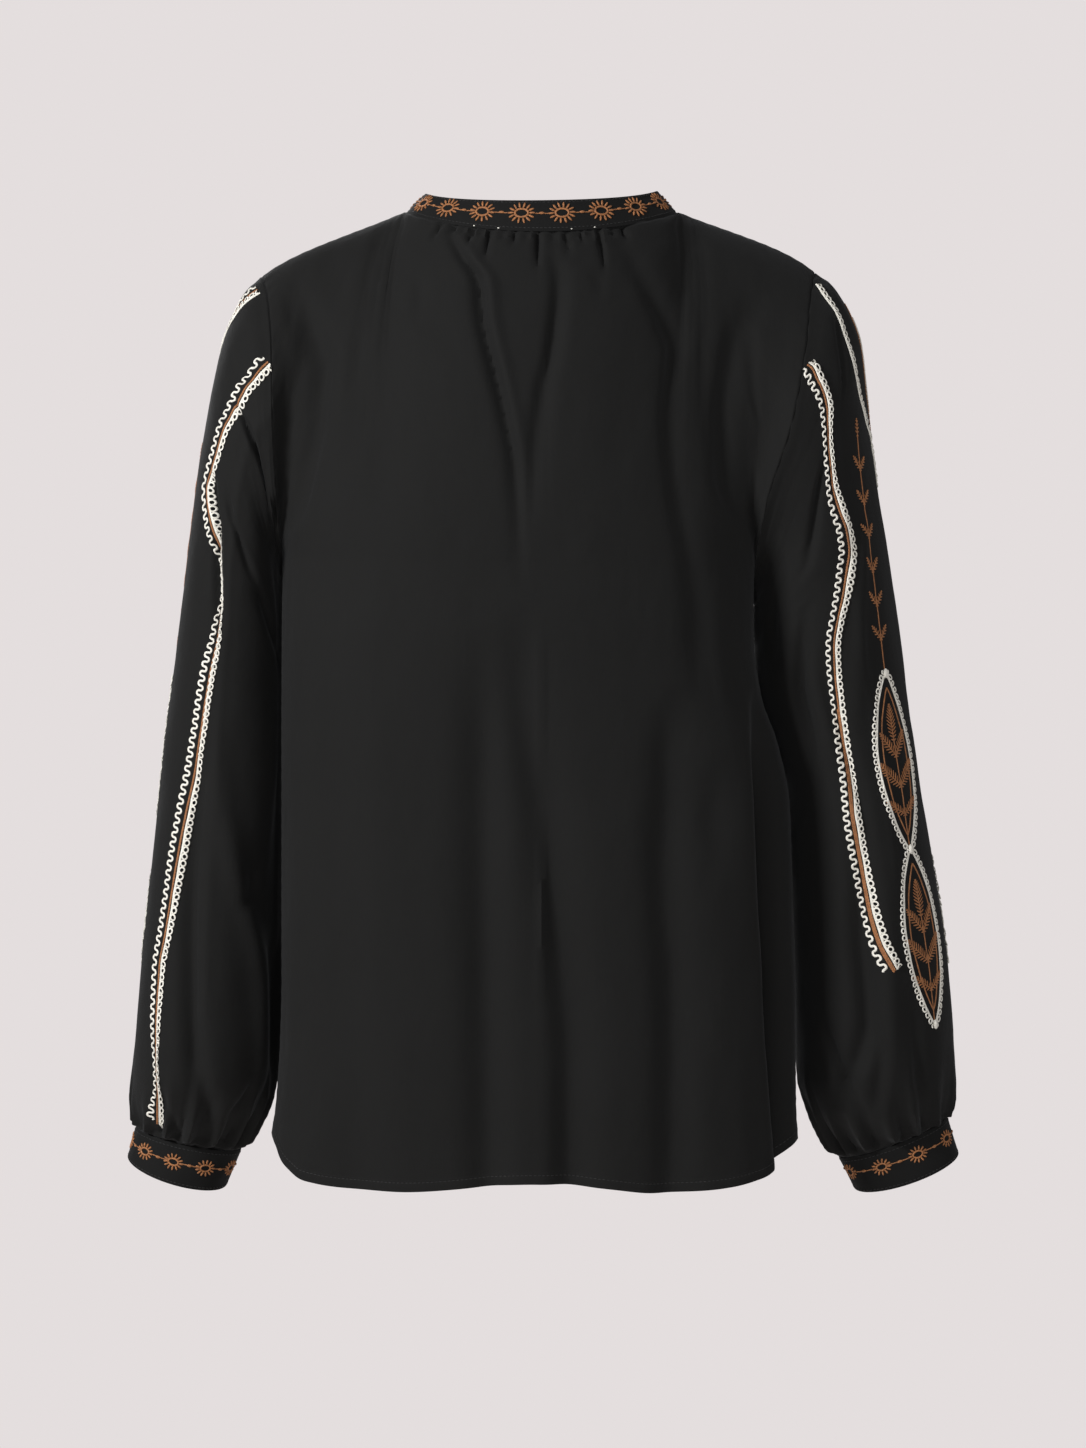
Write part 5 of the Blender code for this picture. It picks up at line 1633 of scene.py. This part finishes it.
# Where the strands lie beside each band's line, by share of its length. On the left
# sleeve a fold narrows the braid a quarter to half of the way down.
BACK_STRANDS = {
    "right": beside(-5.9, 0.0, 2.3, 4.7, -1.4),
    "left": dict(
        beside(-5.9, 0.0, 2.3, 4.7),
        line=((0, 2.3), (0.23, 2.3), (0.28, 1.3), (0.42, 1.3), (0.55, 2.1), (0.65, 2.3), (1, 2.3)),
        loops=((0, 4.7), (0.23, 4.7), (0.28, 2.3), (0.42, 2.3), (0.55, 3.9), (0.65, 4.7), (1, 4.7)),
    ),
}
FRONT_STRANDS = {
    "right": {
        "zigzag": ((0, 33), (0.2, 30), (0.32, 19), (0.45, 9), (0.6, 7.5), (1, 6.5)),
        "brown": ((0, 26), (0.2, 23), (0.32, 12), (0.45, 3), (0.6, 2.4), (1, 2.4)),
        "line": ((0, 0), (1, 0)),
        "loops": ((0, 1.8), (0.28, 1.8), (0.45, -2.3), (1, -2.3)),
        "second_brown": ((0, 0), (1, 0)),
    },
    "left": beside(-12.5, -6.2, 0, -2.2),
}
ZIGZAG_SWING = {"left": 4.3, "right": 3.6}

# Where folds draw the back bands together: length along, from the end where it is
# negative, and the share of the width that is left.
PINCH = {
    "left": (
        (0, 1), (100, 0.95), (126, 0.75), (142, 0.42), (154, 0.16), (176, 0.16), (196, 0.5),
        (222, 0.85), (246, 1), (-118, 1), (-80, 0.75), (-52, 0.32), (-34, 0.34), (-14, 0.8), (-1, 0.8),
    ),
    "right": (
        (0, 0.95), (25, 0.78), (46, 0.52), (78, 0.5), (102, 0.78), (132, 1), (160, 0.85),
        (182, 0.68), (240, 0.68), (312, 0.82), (370, 0.97), (430, 0.92),
    ),
}
CUFF_SUNS = {"left": 47.2, "right": 43.0}
CUFF_SUN_COUNTS = {"left": 9, "right": 8}
CUFF_ROW = {"left": 0.45, "right": 0.4}
CUFF_ROUND = {"left": 209.0, "right": 217.4}
SUN_SPACING = 28.0

# Ends of white thread that show at the collar seam: seen x.
SPECKS = (46.8, 29.8, -20.8, -36.9)


CAMERA_LENS = 106.55
CAMERA_PLACE = (-0.00105, EYE_DISTANCE * MM, -0.3584)


def main():
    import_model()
    scene = bpy.context.scene

    lens = bpy.data.cameras.new("camera")
    lens.sensor_fit = "VERTICAL"
    lens.sensor_height = 36.0
    lens.lens = CAMERA_LENS
    camera = bpy.data.objects.new("camera", lens)
    camera.location = CAMERA_PLACE
    camera.rotation_euler = (math.pi / 2, 0, math.pi)
    scene.collection.objects.link(camera)
    scene.camera = camera

    black = cotton("black_cotton", (0.0078, 0.0078, 0.0076), 0.45, 0.25)
    black_band = cotton("black_band_cotton", (0.0062, 0.0062, 0.0061), 0.45, 0.12)
    black_thread = thread("black_sewing_thread", (0.004, 0.004, 0.0045), (0.014, 0.014, 0.015), 0.6, 0.05)
    white = thread("ivory_cord", (0.60, 0.57, 0.48), (0.98, 0.96, 0.90), 1.0, 0.3)
    brown = thread("brown_floss", (0.085, 0.027, 0.008), (0.52, 0.21, 0.068), 0.8, 0.05)

    back = make_panel(1, BACK_FOLDS, BACK_GATHERS, 11)
    front = make_panel(-1, FRONT_FOLDS, FRONT_GATHERS, 23)
    arms = {
        "left": make_sleeve("left", SLEEVE_LEFT_FOLDS, 37),
        "right": make_sleeve("right", SLEEVE_RIGHT_FOLDS, 41),
    }
    cuffs = {"left": make_cuff(CUFF_LEFT, "left", 53), "right": make_cuff(CUFF_RIGHT, "right", 59)}
    stand = make_collar(61)

    shells = [
        (panel_piece("back_cloth", back, 1, black), "back_panel", "cotton"),
        (panel_piece("front_cloth", front, -1, black), "front_panel", "cotton"),
        (sleeve_piece("left_sleeve_cloth", arms["left"], "left", black), "sleeve_left", "cotton"),
        (sleeve_piece("right_sleeve_cloth", arms["right"], "right", black), "sleeve_right", "cotton"),
        (collar_piece("stand_collar", stand, black_band), "collar_band", "cotton_band"),
        (cuff_piece("left_cuff_band", cuffs["left"], -1, black_band), "cuff_left", "cotton_band"),
        (cuff_piece("right_cuff_band", cuffs["right"], 1, black_band), "cuff_right", "cotton_band"),
    ]

    trees = {
        "wave": wave_tree(), "loops": loops_tree(), "stitches": stitches_tree(),
        "sun": sun_tree(), "feather": feather_tree(), "bead": bead_tree(),
        "white": white, "brown": brown,
    }
    trims = []

    def add(name, parts, material, slot, **looks):
        trims.append((sewn(name, parts, material, **looks), slot))

    for arm, path, front_path, side, thick_from in (
        ("right", RIGHT_BACK_BAND, RIGHT_FRONT_BAND, 1, 245),
        ("left", LEFT_BACK_BAND, LEFT_FRONT_BAND, -1, 1e9),
    ):
        x, z = np.array(path, float).T
        angle, along = located(arms[arm].form, x, z, LOOK_ANGLE, LOOK_ALONG)
        order = np.argsort(along)
        back_band = Route(arms[arm], angle[order], along[order])
        swing = ZIGZAG_SWING[arm]
        whites, browns = band_parts(back_band, trees, BACK_STRANDS[arm], swing, thick_from, PINCH[arm])
        front_along, front_angle = np.array(front_path, float).T
        front_band = Route(arms[arm], front_angle, front_along)
        more = band_parts(front_band, trees, FRONT_STRANDS[arm], swing)
        whites, browns = whites + more[0], browns + more[1]
        at, round_at = zip(*DESIGN_MIDDLE[arm])
        mid_along = np.linspace(at[0], at[-1], 12)
        middle = Route(arms[arm], smooth(at, round_at, mid_along), mid_along)
        chain, lines = frame_parts(middle, trees)
        add(f"{arm}_white_bands", whites, white, "white_thread")
        add(f"{arm}_white_chain", chain, white, "white_thread")
        add(f"{arm}_brown_bands", browns + lines, brown, "brown_thread")
        add(f"{arm}_sprigs", sprig_parts(middle, trees), brown, "brown_thread")

        round_cuff = Route(cuffs[arm], np.linspace(-90, 450, 136), np.full(136, CUFF_ROW[arm]))
        quarter = round_cuff.s[int(np.argmin(np.abs(round_cuff.u)))]
        first = CUFF_SUNS[arm]
        count = CUFF_SUN_COUNTS[arm]
        steps = quarter + first + (np.arange(count + 1) - 2) * CUFF_ROUND[arm] / count
        row = sun_row(round_cuff, trees, list(steps), 0.0, True,
                      Rays=13, Width=7.3, Height=4.7, Ray=3.3, Thread=1.45)
        add(f"{arm}_cuff_suns", row, brown, "brown_thread")

    end = math.pi - 0.08
    turns = np.linspace(-end, end, 160)
    round_neck = Route(stand, turns, np.full(160, 0.57))
    steps = round_neck.length / 2 + (np.arange(18) - 8.5) * SUN_SPACING
    row = sun_row(round_neck, trees, list(steps), 0.0,
                  Rays=14, Width=9.2, Height=6.3, Ray=4.5, Thread=1.65)
    add("collar_suns", row, brown, "brown_thread")

    seams = []
    for cloth, side in ((back, 1), (front, -1)):
        t = np.linspace(-0.985, 0.985, 180)
        hem_share = (HEM_WIDTH - 1) / (underarm_height(t) - hem_height(t, side))
        seams.append(Route(cloth, t, hem_share))
    for arm in ("left", "right"):
        for share in (0.09, 0.93):
            seams.append(Route(cuffs[arm], np.linspace(0, 360, 121), np.full(121, share)))
    for height in (0.1, 0.92):
        seams.append(Route(stand, turns, np.full(160, height)))
    topstitch = []
    for seam in seams:
        points, faces = grown(trees["stitches"], Length=float(seam.length), Period=2.9, Stitch=2.1,
                              Thread=0.5, Material=black_thread)
        topstitch.append((seam, points, faces))
    add("black_topstitch", topstitch, black_thread, "cotton", sink=0.1)
    specks = []
    seam_line = Route(stand, turns, np.full(160, 0.05))
    for x in SPECKS:
        s = float(np.interp(math.asin(x / NECK_HALF_WIDTH), seam_line.u, seam_line.s))
        points, faces = grown(trees["bead"], Length=1.3, Width=0.9, Material=white)
        specks.append((seam_line, turned(points, move=(s, 0.0)), faces))
    add("white_thread_specks", specks, white, "white_thread")

    for piece, node, slot in shells:
        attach(piece, "root")
        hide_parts(node)
    for piece, slot in trims:
        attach(piece, "root")
    by_node = {node: piece for piece, node, _ in shells}
    by_node["back_panel"]
    by_node["front_panel"]
    by_node["sleeve_left"]
    by_node["sleeve_right"]
    by_node["collar_band"]
    by_node["cuff_left"]
    by_node["cuff_right"]

    build_stage(scene)


FLOOR_Z = -1.38
FLOOR_RADIUS = 2.4
PAPER = (0.776, 0.731, 0.731)
ROOM_LIGHT = 0.2

# Soft square lights: name, place, side in metres and power in watts.
LIGHTS = (
    ("key", (2.2, 1.75, 0.85), 0.7, 92),
    ("fill", (-0.2, 2.9, 0.3), 1.6, 25),
    ("side_fill", (-2.6, 0.9, 0.4), 1.2, 13),
    ("front_fill", (0.8, -2.6, 0.8), 1.6, 40),
)


def build_stage(scene):
    """The pale floor, the pale room round it and the soft lights."""
    around = np.linspace(0, 2 * math.pi, 96, endpoint=False)
    points = [(0.0, 0.0, FLOOR_Z)]
    radii = np.linspace(0.3, FLOOR_RADIUS, 8)
    for radius in radii:
        points += [(radius * math.cos(a), radius * math.sin(a), FLOOR_Z) for a in around]
    n = around.size
    faces = [(0, 1 + k, 1 + (k + 1) % n) for k in range(n)]
    for row in range(len(radii) - 1):
        a, b = 1 + row * n, 1 + (row + 1) * n
        faces += [(a + k, b + k, b + (k + 1) % n, a + (k + 1) % n) for k in range(n)]
    mesh = bpy.data.meshes.new("floor")
    mesh.from_pydata(points, [], faces)
    material = bpy.data.materials.new("pale_floor")
    material.use_nodes = True
    graph = Graph(material.node_tree)
    shader = material.node_tree.nodes["Principled BSDF"]
    place = graph.node("ShaderNodeTexCoord")["Object"]
    far = graph.node("ShaderNodeVectorMath", {"operation": "LENGTH"}, {0: place})["Value"]
    fade = graph.node("ShaderNodeMapRange", inputs={
        "Value": far, "From Min": 1.5, "From Max": 1.5 + 1.1, "To Min": 1.0, "To Max": 0.0,
    })["Result"]
    graph.tree.links.new(fade.output, shader.inputs["Alpha"])
    shader.inputs["Base Color"].default_value = (0.8, 0.76, 0.74, 1)
    shader.inputs["Roughness"].default_value = 0.8
    floor = finished("floor", mesh, material)

    world = bpy.data.worlds.new("pale_room")
    world.use_nodes = True
    graph = Graph(world.node_tree)
    paper = world.node_tree.nodes["Background"]
    paper.inputs["Color"].default_value = (*PAPER, 1)
    room = graph.node("ShaderNodeBackground", inputs={"Color": (*PAPER, 1), "Strength": ROOM_LIGHT})
    direct = graph.node("ShaderNodeLightPath")["Is Camera Ray"]
    both = graph.node("ShaderNodeMixShader", inputs={0: direct, 1: room["Background"]})
    graph.tree.links.new(paper.outputs["Background"], both.node.inputs[2])
    world_output = world.node_tree.nodes["World Output"]
    graph.tree.links.new(both.node.outputs["Shader"], world_output.inputs["Surface"])
    scene.world = world
    scene.view_settings.view_transform = "Standard"

    for name, place, size, power in LIGHTS:
        data = bpy.data.lights.new(name, "AREA")
        data.shape = "SQUARE"
        data.size = size
        data.energy = power
        lamp = bpy.data.objects.new(name, data)
        lamp.location = place
        aim = Vector((0, 0, -0.35)) - Vector(place)
        lamp.rotation_euler = aim.to_track_quat("-Z", "Y").to_euler()
        scene.collection.objects.link(lamp)


main()
